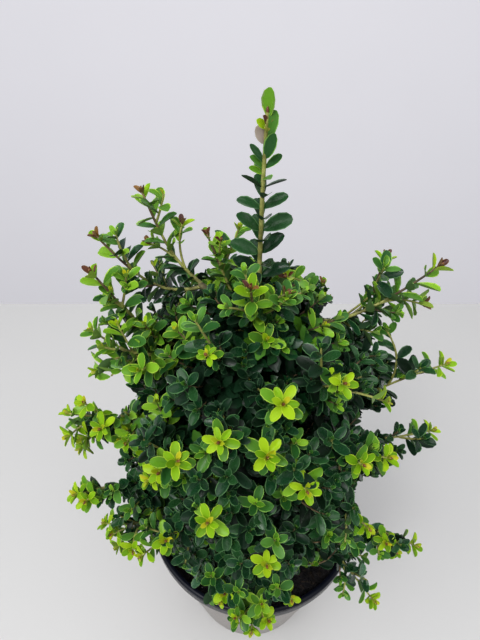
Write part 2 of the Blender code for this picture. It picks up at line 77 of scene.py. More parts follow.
# Trunk
FLARE_RADIUS = 7.6 * MM
FLARE_HEIGHT = 14 * MM
TRUNK_FOOT_RADIUS = 4.8 * MM
TRUNK_TOP_RADIUS = 1.7 * MM
TRUNK_TOP = 374 * MM
TRUNK_LEAN = Vector((-1 * MM, 2 * MM, 0))
TRUNK_SWAY = Vector((2.2 * MM, -1.4 * MM, 0))
TRUNK_STEPS = 60
FIRST_BOUGH = SOIL_TOP + 12 * MM
LAST_BOUGH = 352 * MM

# Dense body of the crown, a rounded cone standing on its blunt end
CROWN_MIDDLE = 243 * MM
CROWN_RADIUS = 86 * MM
CROWN_UP = 134 * MM
CROWN_DOWN = 135 * MM
CROWN_POWER = 2.2

# Limbs
BOUGH_SHARE = 0.42
BOUGH_RADII = (2.3 * MM, 1.65 * MM)
STEM_RADII = (1.0 * MM, 0.55 * MM)
TWIG_RADII = (0.75 * MM, 0.5 * MM)
FOOT_INSIDE = 0.6
SHOOT_BEND = 0.55
FORK_AHEAD = 0.3
FORK_APART = 0.16
LOW_ARCH = 40 * MM
HIGH_ARCH = -12 * MM
LOW_TIP = 172 * MM
HIGH_TIP = 420 * MM
SEED = 41
TWIGS = 3
FIRST_TWIG = 0.2
TWIGS_SPAN = 0.55
TWIG_ANGLE = math.radians(48)
TWIG_RISE = 0.18
TWIG_BEND = 0.55
TWIG_LENGTHS = (36 * MM, 29 * MM, 22 * MM, 15 * MM)
SHORT_TWIG = 23 * MM
TWIG_OUTSIDE = 12 * MM
MARGIN = 0.7 * MM
CLEARANCE = 4 * MM

# Shoots: name, azimuth in degrees, reach from the pot's axis and height of the tip in mm
BOUGHS = {
    "bough_left_upper": [("left_tall", -110, 63, 420), ("left_second", -98, 84, 401)],
    "bough_left_middle": [("left_third", -87, 84, 390), ("left_fourth", -74, 84, 357)],
    "bough_left_wide": [("left_wide", -75, 112, 310), ("front_left_wide", -37, 85, 314)],
    "bough_left_low": [("left_low", -66, 122, 257), ("left_lower", -57, 110, 226)],
    "bough_front_left_low": [("front_left_low", -17, 91, 301), ("left_foot", -44, 103, 228)],
    "bough_front": [("front_middle", 1, 75, 339), ("front_right", 15, 81, 315)],
    "bough_front_low": [("front_low", 2, 92, 262), ("front_hem_left", -14, 95, 208)],
    "bough_front_hem": [("front_hem", -2, 99, 172), ("front_hem_right", 13, 93, 204)],
    "bough_right_upper": [("right_tall", 103, 68, 387), ("right_wide", 91, 89, 390)],
    "bough_right_middle": [("right_arm", 85, 107, 330), ("right_long", 76, 108, 290)],
    "bough_right_slope": [("right_slope", 52, 87, 304), ("right_lower", 38, 96, 270)],
    "bough_right_low": [("right_low", 59, 121, 214), ("right_foot", 42, 115, 185)],
}
ON_TRUNK = [
    ("front_top", -12, 31, 400),
    ("front_left", -16, 74, 345),
    ("front_high_left", -30, 52, 374),
    ("right_front", 35, 63, 362),
    ("right_shoulder", 36, 83, 320),
    ("front_high", 8, 60, 357),
    ("back_left_top", -128, 36, 396),
    ("back_right_top", 118, 44, 372),
]
LEADER = ("leader", 0, 0, 466)
BACK_BOUGHS = 4
BACK_UPPER = {"first": 128, "last": 232, "reach": 82, "height": 338}
BACK_LOWER = {"first": 104, "last": 252, "reach": 106, "height": 208}
BACK_STAGGER = 22

# Shorter shoots that leave a named one: its name, their spray, and their tips' places as above
SIDE_SHOOTS = [
    ("left_tall", "bronze", [(-112, 43, 406), (-107, 61, 393)]),
    ("left_third", "fresh", [(-86, 78, 374), (-80, 60, 353)]),
    ("left_fourth", "fresh", [(-68, 86, 341), (-84, 66, 338)]),
    ("left_wide", "young", [(-70, 107, 297)]),
    ("left_wide", "fresh", [(-69, 83, 323), (-58, 86, 306)]),
    ("left_lower", "young", [(-47, 105, 229)]),
    ("front_left_wide", "young", [(-43, 87, 299)]),
    ("back_left_top", "bronze", [(-124, 25, 397)]),
    ("back_right_top", "bronze", [(110, 42, 359)]),
    ("front_top", "bronze", [(26, 24, 390)]),
    ("front_top", "plain", [(-35, 30, 384)]),
    ("right_tall", "bronze", [(96, 62, 370)]),
    ("right_wide", "bronze", [(89, 86, 367)]),
    ("right_arm", "plain", [(84, 84, 318)]),
    ("right_front", "young", [(55, 76, 339)]),
    ("right_long", "plain", [(70, 88, 272)]),
    ("right_low", "young", [(51, 104, 226)]),
    ("right_low", "plain", [(60, 98, 206)]),
    ("right_foot", "plain", [(34, 100, 190)]),
    ("right_lower", "plain", [(30, 93, 264)]),
    ("front_hem_left", "plain", [(-7, 97, 236), (-22, 92, 193)]),
    ("front_hem", "young", [(-8, 97, 186)]),
    ("front_hem", "plain", [(3, 96, 184)]),
    ("left_third", "fresh", [(-87, 76, 378)]),
    ("left_fourth", "fresh", [(-73, 90, 342)]),
    ("left_fourth", "plain", [(-66, 78, 348)]),
    ("left_wide", "young", [(-73, 101, 320), (-72, 115, 297), (-70, 110, 288), (-65, 96, 312)]),
    ("left_wide", "fresh", [(-70, 88, 313)]),
    ("left_low", "plain", [(-62, 109, 255), (-60, 101, 263)]),
    ("left_lower", "young", [(-56, 110, 210), (-61, 112, 229)]),
    ("right_arm", "plain", [(88, 70, 350)]),
    ("right_low", "plain", [(48, 104, 218)]),
    ("right_low", "young", [(53, 111, 217)]),
    ("front_hem_left", "plain", [(-17, 94, 242)]),
    ("front_hem_left", "young", [(-12, 96, 226)]),
    ("front_hem", "fresh", [(-8, 99, 196), (1, 96, 215)]),
    ("front_hem_right", "plain", [(6, 93, 232)]),
    ("front_hem", "young", [(4, 98, 190)]),
    ("back_right_top", "bronze", [(99, 13, 383)]),
    ("front_top", "plain", [(55, 24, 385)]),
    ("left_second", "plain", [(-99, 74, 402)]),
    ("left_fourth", "fresh", [(-81, 89, 360)]),
    ("front_left_wide", "young", [(-30, 81, 328)]),
    ("left_foot", "young", [(-34, 94, 259)]),
    ("right_tall", "plain", [(95, 75, 353)]),
    ("left_low", "young", [(-62, 117, 259)]),
    ("left_low", "plain", [(-68, 118, 250)]),
]

# Shoots that the photo shows bowed: how far their middle stands aside in mm, as x, y and z
BOWS = {
    "left_tall": (-5, 0, -3),
    "left_second": (-3, 0, -8),
    "left_third": (-7, -2, -8),
    "right_tall": (11, 0, -12),
    "right_long": (0, -3, -7),
}

# Openings that the photo shows: circles in its 480 x 640 frame, as x, y and radius
OPENINGS = {
    "over_left": [(170, 166, 25), (177, 201, 10)],
    "left_notch": [(118, 216, 9), (132, 233, 7), (88, 252, 8)],
    "left_inside": [(145, 265, 6), (162, 251, 6), (118, 294, 7), (121, 263, 6)],
    "beside_leader": [(192, 239, 10), (184, 257, 6), (203, 250, 5), (228, 230, 9), (301, 246, 12)],
    "right_gap": [(303, 276, 5), (346, 276, 20), (344, 298, 13), (328, 311, 9), (357, 309, 7)],
    "left_of_right": [(370, 236, 13), (363, 262, 10), (356, 283, 8), (370, 279, 5)],
    "between_right": [(411, 249, 7), (409, 267, 5), (389, 304, 5)],
    "over_right_arm": [(407, 333, 12), (396, 350, 7)],
    "under_right_arm": [(409, 395, 12), (395, 382, 9), (428, 384, 8)],
    "right_middle": [(386, 420, 10), (371, 420, 12), (403, 413, 10), (403, 436, 5), (393, 480, 9)],
    "over_right_low": [(371, 495, 18), (379, 512, 12), (362, 513, 5), (397, 521, 12)],
    "left_middle": [(102, 392, 14), (126, 398, 9), (119, 379, 8), (115, 408, 8), (116, 398, 5)],
    "left_lower": [(100, 470, 10), (115, 473, 9)],
    "over_rim": [(181, 580, 12), (200, 592, 9), (311, 584, 19), (327, 574, 9), (373, 577, 7)],
}

# Hollows that lie in the shade between the shoots, as circles in the same frame
# Leaves in the hollows take the shaded spray, whose near-black colour is painted shade
HOLLOWS = {
    "beside_top": [(222, 320, 26), (296, 322, 16)],
    "middle": [(218, 384, 28), (246, 402, 24), (240, 440, 18)],
    "right": [(308, 374, 20), (308, 430, 15)],
    "front_low": [(276, 509, 14)],
}
HOLLOW_DEPTH = 13 * MM

# Leaves
LEAF_LENGTH = 12.6 * MM
LEAF_WIDTH = 6.6 * MM
LEAF_THICKNESS = 0.4 * MM
LEAF_CUP = (0.12, 0.34)
LEAF_CURL = (-0.04, 0.18)
LEAF_TWIST = 0.22
LEAN_SPREAD = 0.22
SIZE_SPREAD = (0.9, 1.08)
SEEN_SHARES = (0.45, 0.85)
PLUMP_BELOW = 200 * MM
PLUMP_FADE = 110 * MM
LOW_LEAF = 0.80
LOW_PLUMP = 1.16

# Pairs of leaves from a tip backwards: mm behind the tip, share of full size and angle in degrees
ROSETTE = [(0.3, 0.24, 12), (0.7, 0.42, 32), (1.3, 0.60, 50), (2.1, 0.69, 66), (3.1, 0.75, 78)]
ROSETTE += [(6.6, 0.90, 68), (11.5, 0.97, 62)]
ROSETTE_PAIRS = 5
ROSETTE_TWIST = math.radians(124)
SHOOT_TIP = [(0.3, 0.28, 12), (0.8, 0.48, 32), (2.6, 0.72, 50), (6.2, 0.88, 58), (11.0, 1.0, 62)]
PAIR_ANGLE = 61
PAIR_SPACING = 5.3 * MM
CLOSER = 0.8
TIP_RISE = 9 * MM
FEWEST_PAIRS = 3
PAIR_TWIST = math.radians(98)

# What the leaves turn to, and where light falls from the front
LIGHT_OUT = 0.5
LIGHT_UP = 0.8
LIGHT_FRONT = 0.9
LIGHT_SPREAD = 0.25
LIT_DEPTH = 90 * MM
LIT_ABOVE = 200 * MM
LIT_RISE = 180 * MM
UPWARD = {"front_top": Vector((0, -0.2, 1))}

# Leaves low on the plant, which turn into the low kind whose greyer colour is painted sheen, and shoots
# with smaller leaves
LOW_LEAVES_FROM = 245 * MM
LOW_LEAVES_FADE = 55 * MM
LOW_LEAVES_SHARE = 0.75
SHOOT_SIZES = {
    "front_top": 0.86,
    "front_high_left": 0.6,
    "right_front": 0.86,
    "right_shoulder": 0.92,
    "front_left": 0.9,
    "left_tall": 0.9,
    "left_second": 0.94,
    "left_third": 0.98,
    "right_tall": 0.86,
    "right_wide": 0.98,
    "back_left_top": 0.74,
    "back_right_top": 0.8,
    "right_long": 0.86,
    "right_arm": 0.92,
}

# Stage and camera, in metres
FLOOR_EDGE = 0.451
WALL_PLACE = 3
WALL_SIDE = 4
# The wall's emission strength by height: painted light, a glow that is a little weaker lower down
WALL_PAINTED_GLOW = {"From_Min": -2.05, "From_Max": 0.2, "To_Min": 0.30, "To_Max": 0.38}
TABLE = (0.655, 0.650, 0.641)
BACKDROP = (0.86, 0.845, 0.885)
WORLD_COLOUR = (0.94, 0.96, 1.0, 1)
WORLD_STRENGTH = 0.4
CAMERA_PLACE = (-0.011, -0.186, 0.518)
CAMERA_PITCH = math.radians(48.8)
FOCAL_PIXELS = 450
SENSOR = 36
PHOTO_SIZE = (480, 640)

# Area lights: place, target, size and power
LIGHTS = {
    "key": ((-0.8, -0.7, 1.5), (0, 0, 0.2), 1.2, 12.5),
    "window": ((-0.45, -0.75, 1.35), (0, 0, 0.25), 0.22, 4.0),
    "fill": ((0.9, -0.6, 1.3), (0, 0, 0.2), 1.0, 3.6),
    "top": ((0.0, -0.2, 1.5), (0, 0.4, 0.3), 0.9, 5),
    "back": ((0.4, 1.5, 1.5), (0, 0, 0.3), 1.0, 3),
}

# Side shoots and twigs in axils: where they leave and how they grow, with steps in mm
SIDE_BEHIND = 20
SIDE_PLACES = [i / 40 for i in range(8, 37)]
SIDE_BARE = 3 * MM
SIDE_SIZE = 0.94
AXIL_END = 0.72
AXIL_REACH = 19 * MM
AXIL_GROWTH = 0.55
AXIL_STEP = (6, 9.5)
AXIL_SIZE = 0.86
STEM_BARE = 5 * MM
TWIG_BARE = 4 * MM
AXIL_BARE = 2 * MM
CLEAN_END = 34 * MM
OLD_CLEAN_END = 13 * MM
FRESH_WOOD = 22 * MM

# Fine twigs: their feet in mm behind the tips, how many end on the crown's body, how many inside
# it, and how deep
LOWEST_TWIG = POT_HEIGHT + 7 * MM
GOLDEN_ANGLE = 137.508
FINE_BEHIND = (24, 38)
FINE_BULGE = 5
FINE_SPAN = (10 * MM, 80 * MM)
FINE_BARE = 3 * MM
OUTER_TWIGS = 570
OUTER_DEPTH = (-5 * MM, 12 * MM)
INNER_TWIGS = 230
INNER_DEPTH = (20 * MM, 46 * MM)
FINE_RADII = (0.6 * MM, 0.36 * MM)
LEAFY_LENGTH = 33 * MM

# Buds: radius and height of their rings in mm
BUD = ((0.25, -0.6), (0.62, 0.2), (0.85, 1.0), (0.6, 1.9), (0.12, 2.6))
BUD_SIDES = 6

# Wood: how many sides its tubes have, and how far its bark stands out as a share of the radius
WOOD = {
    "trunk_bark": (28, 0.05),
    "bough_bark": (14, 0.05),
    "shoot_stems": (8, 0.06),
    "side_twigs": (6, 0.05),
    "fine_twigs": (5, 0.05),
}

# Leader
LEADER_LEAF = 3
LEADER_RADII = (1.3 * MM, 0.8 * MM)
LEADER_SHIFT = 0.3 * MM
LEADER_TOP_PAIR = 440.5 * MM
LEADER_SPACING = 4.2 * MM
LEADER_WIDENING = 0.33 * MM
LEADER_SIZES = (0.66, 1.22)
LEADER_GROWTH = 0.08
LEADER_ANGLE = 55
LEADER_LIGHT = Vector((0, -1.1, 0.5))
FLAT_PAIR = 2
FLAT_LIGHT = Vector((0, 0.6, 0.8))

# Leaves of the leader's tip: height, azimuth, angle from upright, length, width and kind
LEADER_TIP = [
    (461.5, 90, 1, 10.6, 5.8, "light"),
    (459, 100, 30, 4.0, 2.4, "bronze"),
    (459, -40, 30, 4.2, 2.6, "bronze"),
    (457, -60, 42, 5.4, 3.6, "young"),
    (456, -10, 48, 4.6, 3.4, "yellow"),
    (452, 65, 13, 12.4, 5.4, "mid"),
    (451, -75, 22, 7.6, 6.0, "dry"),
    (445, 35, 22, 11.6, 5.6, "mid"),
    (443, -90, 34, 9.2, 3.2, "deep"),
    (438, -85, 62, 6.8, 3.2, "light"),
]

# Finishes: shades in thousandths and the scale of their noise, roughness, sheen, and the relief's
# noise scale, strength and depth
GLOSS_DIP = 0.07
GLOSS_RISE = 0.08
SHADE_FROM = 0.34
SHADE_SPAN = 0.34
BARK_GRAIN = (900, 0.5, 0.0005)
MIX_GRAIN = (1200, 0.8, 0.001)
FINISHES = {
    "black_plastic": ([(3, 4, 10), (6, 8, 17)], 30, 0.34, 0.2, (700, 0.06, 0.0002)),
    "taupe_plastic": ([(262, 232, 214), (284, 253, 234)], 60, 0.34, 0.4, (700, 0.05, 0.0002)),
    "potting_mix": ([(5, 4, 6), (16, 13, 15), (36, 30, 30)], 500, 0.9, 0.5, MIX_GRAIN),
    "bark_chips": ([(10, 7, 7), (26, 18, 14), (60, 42, 30)], 260, 0.85, 0.5, MIX_GRAIN),
    "pale_specks": ([(300, 270, 220), (600, 570, 500)], 500, 0.85, 0.5, MIX_GRAIN),
    "old_bark": ([(40, 33, 16), (100, 88, 38), (180, 165, 72)], 260, 0.8, 0.5, BARK_GRAIN),
    "young_bark": ([(160, 150, 40), (300, 310, 70), (440, 440, 130)], 170, 0.55, 0.5, BARK_GRAIN),
    "brown_bark": ([(40, 24, 14), (110, 70, 32), (230, 160, 70)], 200, 0.65, 0.5, BARK_GRAIN),
    "bud_bronze": ([(110, 30, 20), (300, 130, 40)], 300, 0.5, 0.5, BARK_GRAIN),
}

# Leaf colours in thousandths: three shades of the upper side, the underside and the margin, whose paler
# colour is a painted highlight along the leaves' thick edges
LEAVES = {
    # The dark kind's near-black colours are painted shade, for leaves in the hollows, inside the crown and
    # at the inner ends of old sprays
    "dark": [(3, 11, 4), (4, 18, 7), (6, 25, 10), (7, 20, 9), (35, 88, 38)],
    "deep": [(6, 29, 10), (8, 44, 14), (16, 67, 18), (20, 52, 20), (86, 205, 73)],
    # The low kind's paler, greyer colours are painted sheen, the whitish shine of the low leaves
    "low": [(14, 54, 28), (26, 88, 42), (50, 140, 68), (65, 120, 60), (140, 300, 120)],
    "mid": [(19, 89, 16), (38, 138, 20), (69, 204, 25), (82, 162, 48), (209, 428, 73)],
    "light": [(69, 199, 14), (124, 309, 17), (204, 419, 22), (187, 319, 60), (386, 606, 60)],
    "young": [(130, 290, 6), (200, 395, 8), (310, 500, 11), (270, 400, 50), (430, 610, 30)],
    "yellow": [(313, 410, 10), (378, 443, 12), (454, 454, 17), (389, 410, 60), (518, 562, 43)],
    "bronze": [(75, 23, 18), (123, 44, 23), (202, 101, 25), (158, 92, 40), (246, 141, 48)],
    "dry": [(450, 370, 320), (580, 510, 450), (660, 610, 540), (470, 400, 340), (600, 530, 460)],
}
SHADES = 3

# Roughness and sheen of the upper sides, then of undersides and margins
GLOSS = {
    "dark": (0.32, 0.16),
    "deep": (0.27, 0.28),
    "low": (0.25, 0.6),
    "young": (0.36, 0.12),
    "yellow": (0.36, 0.12),
}
USUAL_GLOSS = (0.34, 0.2)
UNDER_GLOSS = (0.6, 0.2)
MARGIN_GLOSS = (0.45, 0.2)
LEAF_RELIEF = (450, 0.25, 0.0004)
COARSE_DEPTH = 15 * MM
MOST_TRIANGLES = 190000

# Kinds of leaves from a spray's tip backwards
SPRAYS = {
    "bronze": "bronze bronze young light light mid light mid light mid mid deep",
    "bright": "bronze bronze young young light light light light light mid mid deep",
    "young": "yellow yellow young young young light mid deep",
    "fresh": "yellow young light light mid light light mid mid deep",
    "plain": "light light mid mid deep",
    "old": "mid deep deep deep dark",
    # The shaded spray is painted shade: its leaves all take the near-black dark kind
    "shaded": "dark",
}
FRESH_SIDE = {"first": -140, "last": -50, "lowest": 285 * MM}
HEM_HEIGHT = 235 * MM
CROWN_HEIGHT = 345 * MM
SPRAY_SHARES = {
    "fresh_side": (0.16, 0.48, 0.36),
    "hem": (0.12, 0.48, 0.4),
    "crown": (0.08, 0.46, 0.46),
    "elsewhere": (0.0, 0.16, 0.84),
}
SHOOT_SPRAYS = {
    "bronze": "left_tall left_second left_third right_tall right_wide back_left_top back_right_top",
    "bright": "front_top",
    "fresh": "left_fourth left_wide",
}
LIGHT_SPRAYS = ("bronze", "bright", "fresh")

Limb = namedtuple("Limb", "points radii")
Shoot = namedtuple("Shoot", "name limb seed")
Space = namedtuple("Space", "starts spans owners")


# Materials


def thousandths(colour):
    return tuple(part / 1000 for part in colour)


def new_material(name, roughness, sheen):
    """A Principled material, its shader and its node tree."""
    made = bpy.data.materials.new(name)
    made.use_nodes = True
    shader = made.node_tree.nodes["Principled BSDF"]
    shader.inputs["Roughness"].default_value = roughness
    shader.inputs["Specular IOR Level"].default_value = sheen
    return made, shader, made.node_tree


def new_node(tree, kind, **values):
    made = tree.nodes.new(kind)
    for socket, value in values.items():
        made.inputs[socket.replace("_", " ")].default_value = value
    return made


def noise(tree, scale, detail):
    place = tree.nodes.new("ShaderNodeTexCoord")
    made = new_node(tree, "ShaderNodeTexNoise", Scale=scale, Detail=detail)
    tree.links.new(place.outputs["Object"], made.inputs["Vector"])
    return made.outputs["Fac"]


def ramp(tree, fac, stops):
    """Colours or greys at places along a 0 to 1 value."""
    made = tree.nodes.new("ShaderNodeValToRGB")
    while len(made.color_ramp.elements) < len(stops):
        made.color_ramp.elements.new(0.5)
    for element, (place, colour) in zip(made.color_ramp.elements, stops):
        element.position = place
        element.color = (*colour, 1) if isinstance(colour, tuple) else (colour, colour, colour, 1)
    tree.links.new(fac, made.inputs["Fac"])
    return made.outputs["Color"]


def surface(tree, shader, roughness, dip, relief):
    """Uneven gloss and a fine relief, which is the noise scale, strength and depth of the bump."""
    fine = noise(tree, relief[0], 4.0)
    rough = ramp(tree, fine, [(0.3, roughness - dip), (0.7, roughness + GLOSS_RISE)])
    tree.links.new(rough, shader.inputs["Roughness"])
    bump = new_node(tree, "ShaderNodeBump", Strength=relief[1], Distance=relief[2])
    tree.links.new(fine, bump.inputs["Height"])
    tree.links.new(bump.outputs["Normal"], shader.inputs["Normal"])


def patchy(name, shades, scale, roughness, sheen, relief):
    """A material whose colour wanders between its shades."""
    made, shader, tree = new_material(name, roughness, sheen)
    places = [SHADE_FROM + SHADE_SPAN * i / (len(shades) - 1) for i in range(len(shades))]
    colour = ramp(tree, noise(tree, scale, 3.0), list(zip(places, shades)))
    tree.links.new(colour, shader.inputs["Base Color"])
    surface(tree, shader, roughness, GLOSS_DIP, relief)
    return made


def make_finishes():
    made = {}
    for name, (shades, *looks) in FINISHES.items():
        made[name] = patchy(name, [thousandths(shade) for shade in shades], *looks)
    return made


def leaf_material(name, colour, roughness, sheen):
    """A material of one plain colour."""
    made, shader, tree = new_material(name, roughness, sheen)
    shader.inputs["Base Color"].default_value = (*thousandths(colour), 1)
    surface(tree, shader, roughness, GLOSS_RISE, LEAF_RELIEF)
    return made


def leaf_materials(kind):
    """The shades of its upper side, then its underside and its margin, whose pale colour is a painted
    highlight.
    """
    looks = [GLOSS.get(kind, USUAL_GLOSS)] * SHADES + [UNDER_GLOSS, MARGIN_GLOSS]
    parts = [*range(SHADES), "under", "margin"]
    return [leaf_material(f"{kind}_leaves_{p}", c, *look) for p, c, look in zip(parts, LEAVES[kind], looks)]


# Meshes


def linked(name, data):
    """An object in the scene that holds this mesh, light or camera."""
    obj = bpy.data.objects.new(name, data)
    bpy.context.scene.collection.objects.link(obj)
    return obj


def array_object(name, points, faces, finishes, indices=None, crease=60):
    """An object from arrays of points (n, 3) and of triangles or quads (m, k)."""
    mesh = bpy.data.meshes.new(name)
    count, corners = faces.shape
    mesh.vertices.add(len(points))
    mesh.vertices.foreach_set("co", points.astype(np.float32).ravel())
    mesh.loops.add(count * corners)
    mesh.loops.foreach_set("vertex_index", faces.astype(np.int32).ravel())
    mesh.polygons.add(count)
    mesh.polygons.foreach_set("loop_start", np.arange(count, dtype=np.int32) * corners)
    for finish in finishes:
        mesh.materials.append(finish)
    if indices is not None:
        mesh.polygons.foreach_set("material_index", indices.astype(np.int32))
    mesh.update(calc_edges=True)
    mesh.shade_smooth()
    mesh.set_sharp_from_angle(angle=math.radians(crease))
    return linked(name, mesh)


def joined(parts):
    """(points, faces) of many such pairs as one."""
    points, faces, shift = [], [], 0
    for p, f in parts:
        points.append(p)
        faces.append(f + shift)
        shift += len(p)
    return np.concatenate(points), np.concatenate(faces)


def turns_of(sides):
    return np.arange(sides) * math.tau / sides


def circle_round(axis, side, turns):
    return np.cos(turns)[:, None] * side + np.sin(turns)[:, None] * np.cross(axis, side)


def round_grid(radii, sides):
    """x and y of rings of points round the pot's axis."""
    turns = turns_of(sides)
    return np.outer(radii, np.cos(turns)), np.outer(radii, np.sin(turns))


def rotated(x, y, angle):
    return x * np.cos(angle) - y * np.sin(angle), x * np.sin(angle) + y * np.cos(angle)


def copies(faces, corners, count):
    """The faces of this many copies of a mesh with this many corners."""
    return (faces[None] + (np.arange(count) * corners)[:, None, None]).reshape(-1, faces.shape[1])


def rings_to_quads(rings, sides):
    k = np.arange(sides)
    ring = np.stack([k, (k + 1) % sides, (k + 1) % sides + sides, k + sides], axis=1)
    return np.concatenate([ring + sides * i for i in range(rings - 1)])


def dress(obj, nodes=()):
    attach(obj, "root")
    if nodes:
        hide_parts(*nodes)
    return obj


# Limbs, by the same rule as the solids


def polar(azimuth, reach, height):
    turn = math.radians(azimuth)
    return Vector((reach * math.sin(turn), -reach * math.cos(turn), height))


def outward(point):
    return Vector((point.x, point.y, 0)).normalized()


def clamped(share, least=0.0):
    return min(1.0, max(least, share))


def crown_radius(height):
    """Radius of the crown's dense body at this height, 0 above and below it."""
    span = CROWN_UP if height > CROWN_MIDDLE else CROWN_DOWN
    share = abs(height - CROWN_MIDDLE) / span
    return CROWN_RADIUS * math.sqrt(max(0.0, 1 - share**CROWN_POWER))


def bezier(start, control, end, share):
    rest = 1 - share
    return start * rest * rest + control * 2 * rest * share + end * share * share


def curved_limb(start, control, end, radii, steps, share=1):
    """A tapering limb along this share of a curve from its start."""
    points = [bezier(start, control, end, share * i / steps) for i in range(steps + 1)]
    return Limb(points, [radii[0] + (radii[1] - radii[0]) * i / steps for i in range(steps + 1)])


def along_limb(limb, share):
    place = share * (len(limb.points) - 1)
    i = min(int(place), len(limb.points) - 2)
    rest = place - i
    point = limb.points[i].lerp(limb.points[i + 1], rest)
    direction = (limb.points[i + 1] - limb.points[i]).normalized()
    return point, direction, limb.radii[i] + (limb.radii[i + 1] - limb.radii[i]) * rest


def limb_length(limb):
    return sum((b - a).length for a, b in zip(limb.points, limb.points[1:]))


def across(direction):
    side = direction.cross(UP)
    return side.normalized() if side.length > 0.05 else Vector((1, 0, 0))


def turned_across(direction, turn):
    side = across(direction)
    return side * math.cos(turn) + direction.cross(side) * math.sin(turn)


def trunk_point(height):
    share = (height - SOIL_TOP) / (TRUNK_TOP - SOIL_TOP)
    shift = TRUNK_LEAN * share + TRUNK_SWAY * math.sin(math.pi * share)
    return Vector((shift.x, shift.y, height))


def trunk_radius(height):
    share = (height - SOIL_TOP) / (TRUNK_TOP - SOIL_TOP)
    radius = TRUNK_FOOT_RADIUS + (TRUNK_TOP_RADIUS - TRUNK_FOOT_RADIUS) * share
    flare = max(0.0, 1 - (height - SOIL_TOP) / FLARE_HEIGHT)
    return radius + (FLARE_RADIUS - TRUNK_FOOT_RADIUS) * flare * flare


def trunk_limb():
    foot, steps = SOIL_TOP - 1.5 * MM, TRUNK_STEPS
    heights = [foot + (TRUNK_TOP - foot) * (i / steps) ** 1.15 for i in range(steps + 1)]
    return Limb([trunk_point(h) for h in heights], [trunk_radius(max(h, SOIL_TOP)) for h in heights])


def arch(tip_height):
    share = (tip_height - LOW_TIP) / (HIGH_TIP - LOW_TIP)
    return LOW_ARCH + (HIGH_ARCH - LOW_ARCH) * clamped(share)


def shoot_path(origin_height, tip, radii, steps, share):
    origin = trunk_point(origin_height)
    control = origin.lerp(tip, SHOOT_BEND) + UP * arch(tip.z)
    start = origin + (control - origin).normalized() * trunk_radius(origin_height) * FOOT_INSIDE
    return curved_limb(start, control, tip, radii, steps, share)


def fork_stem(bough, tip, other_tip, steps):
    end, along, _ = along_limb(bough, 1.0)
    apart = tip - other_tip
    apart -= along * apart.dot(along)
    apart.normalize()
    start = end - along * MM + apart * STEM_RADII[0] * FOOT_INSIDE
    control = start + (along * FORK_AHEAD + apart * FORK_APART) * (tip - start).length
    return curved_limb(start, control, tip, STEM_RADII, steps)


def back_shoots():
    made = {}
    for k in range(BACK_BOUGHS):
        made[f"bough_back_{k}"] = []
        for level, row, lift in (("upper", BACK_UPPER, 1), ("lower", BACK_LOWER, -1.3)):
            lift *= BACK_STAGGER * (1 if k % 2 else -1)
            azimuth = row["first"] + (row["last"] - row["first"]) * k / (BACK_BOUGHS - 1)
            place = (azimuth, row["reach"] - lift / 4, row["height"] + lift)
            made[f"bough_back_{k}"].append((f"back_{level}_{k}", *place))
    return made


def plan():
    """(boughs by name, shoots): every limb's centre line, as in the solids."""
    groups = {name: list(rows) for name, rows in {**BOUGHS, **back_shoots()}.items()}
    for row in ON_TRUNK:
        groups[row[0]] = [row]
    mean = {name: sum(row[3] for row in rows) / len(rows) for name, rows in groups.items()}
    order = sorted(groups, key=lambda name: mean[name])
    boughs, shoots = {}, []
    for slot, name in enumerate(order):
        rows = groups[name]
        height = FIRST_BOUGH + (LAST_BOUGH - FIRST_BOUGH) * slot / (len(order) - 1)
        tips = [polar(row[1], row[2] * MM, row[3] * MM) for row in rows]
        if len(tips) == 1:
            limb = shoot_path(height, tips[0], STEM_RADII, 12, 1)
            shoots.append(Shoot(name, limb, SEED + len(shoots)))
            continue
        bough = shoot_path(height, sum(tips, Vector()) / 2, BOUGH_RADII, 10, BOUGH_SHARE)
        boughs[name] = bough
        for row, tip, other in zip(rows, tips, reversed(tips)):
            limb = fork_stem(bough, tip, other, 10)
            shoots.append(Shoot(row[0], limb, SEED + len(shoots)))
    top = trunk_point(TRUNK_TOP)
    tip = polar(LEADER[1], LEADER[2] * MM, (LEADER[3] - LEADER_LEAF) * MM) - Vector((LEADER_SHIFT, 0, 0))
    limb = curved_limb(top, top.lerp(tip, 0.5) + Vector((-1 * MM, 0, 0)), tip, LEADER_RADII, 12)
    shoots.append(Shoot(LEADER[0], limb, SEED + len(shoots)))
    return boughs, shoots


def space_of(limbs):
    rows = []
    for number, limb in enumerate(limbs):
        rows += [(a, b - a, number) for a, b in zip(limb.points, limb.points[1:])]
    return Space(*(np.array(column) for column in zip(*rows)))


def in_own_space(points, number, space):
    """Whether these points are nearer to the limb of this number than to any other."""
    away = np.array(points)[:, None, :] - space.starts
    share = (away * space.spans).sum(axis=2) / (space.spans**2).sum(axis=1)
    away -= np.clip(share, 0, 1)[:, :, None] * space.spans
    away = np.sqrt((away**2).sum(axis=2))
    own = space.owners == number
    return bool((away[:, ~own].min(axis=1) - away[:, own].min(axis=1) > 2 * MARGIN).all())


def seen_at(point):
    """Where the photo's camera sees a point, in the photo's frame."""
    x, y, z = (point[i] - CAMERA_PLACE[i] for i in range(3))
    depth = y * math.sin(CAMERA_PITCH) - z * math.cos(CAMERA_PITCH)
    rise = y * math.cos(CAMERA_PITCH) + z * math.sin(CAMERA_PITCH)
    across_photo, up_photo = FOCAL_PIXELS * x / depth, FOCAL_PIXELS * rise / depth
    return PHOTO_SIZE[0] / 2 + across_photo, PHOTO_SIZE[1] / 2 - up_photo


def in_circle(point, circles):
    x, y = seen_at(point)
    return any(math.hypot(x - a, y - b) < radius for row in circles.values() for a, b, radius in row)


def in_opening(point):
    return in_circle(point, OPENINGS)


def in_hollow(point):
    """Whether a point near the front of the crown's body lies in a hollow."""
    return point.y < 0 and in_circle(point, HOLLOWS)


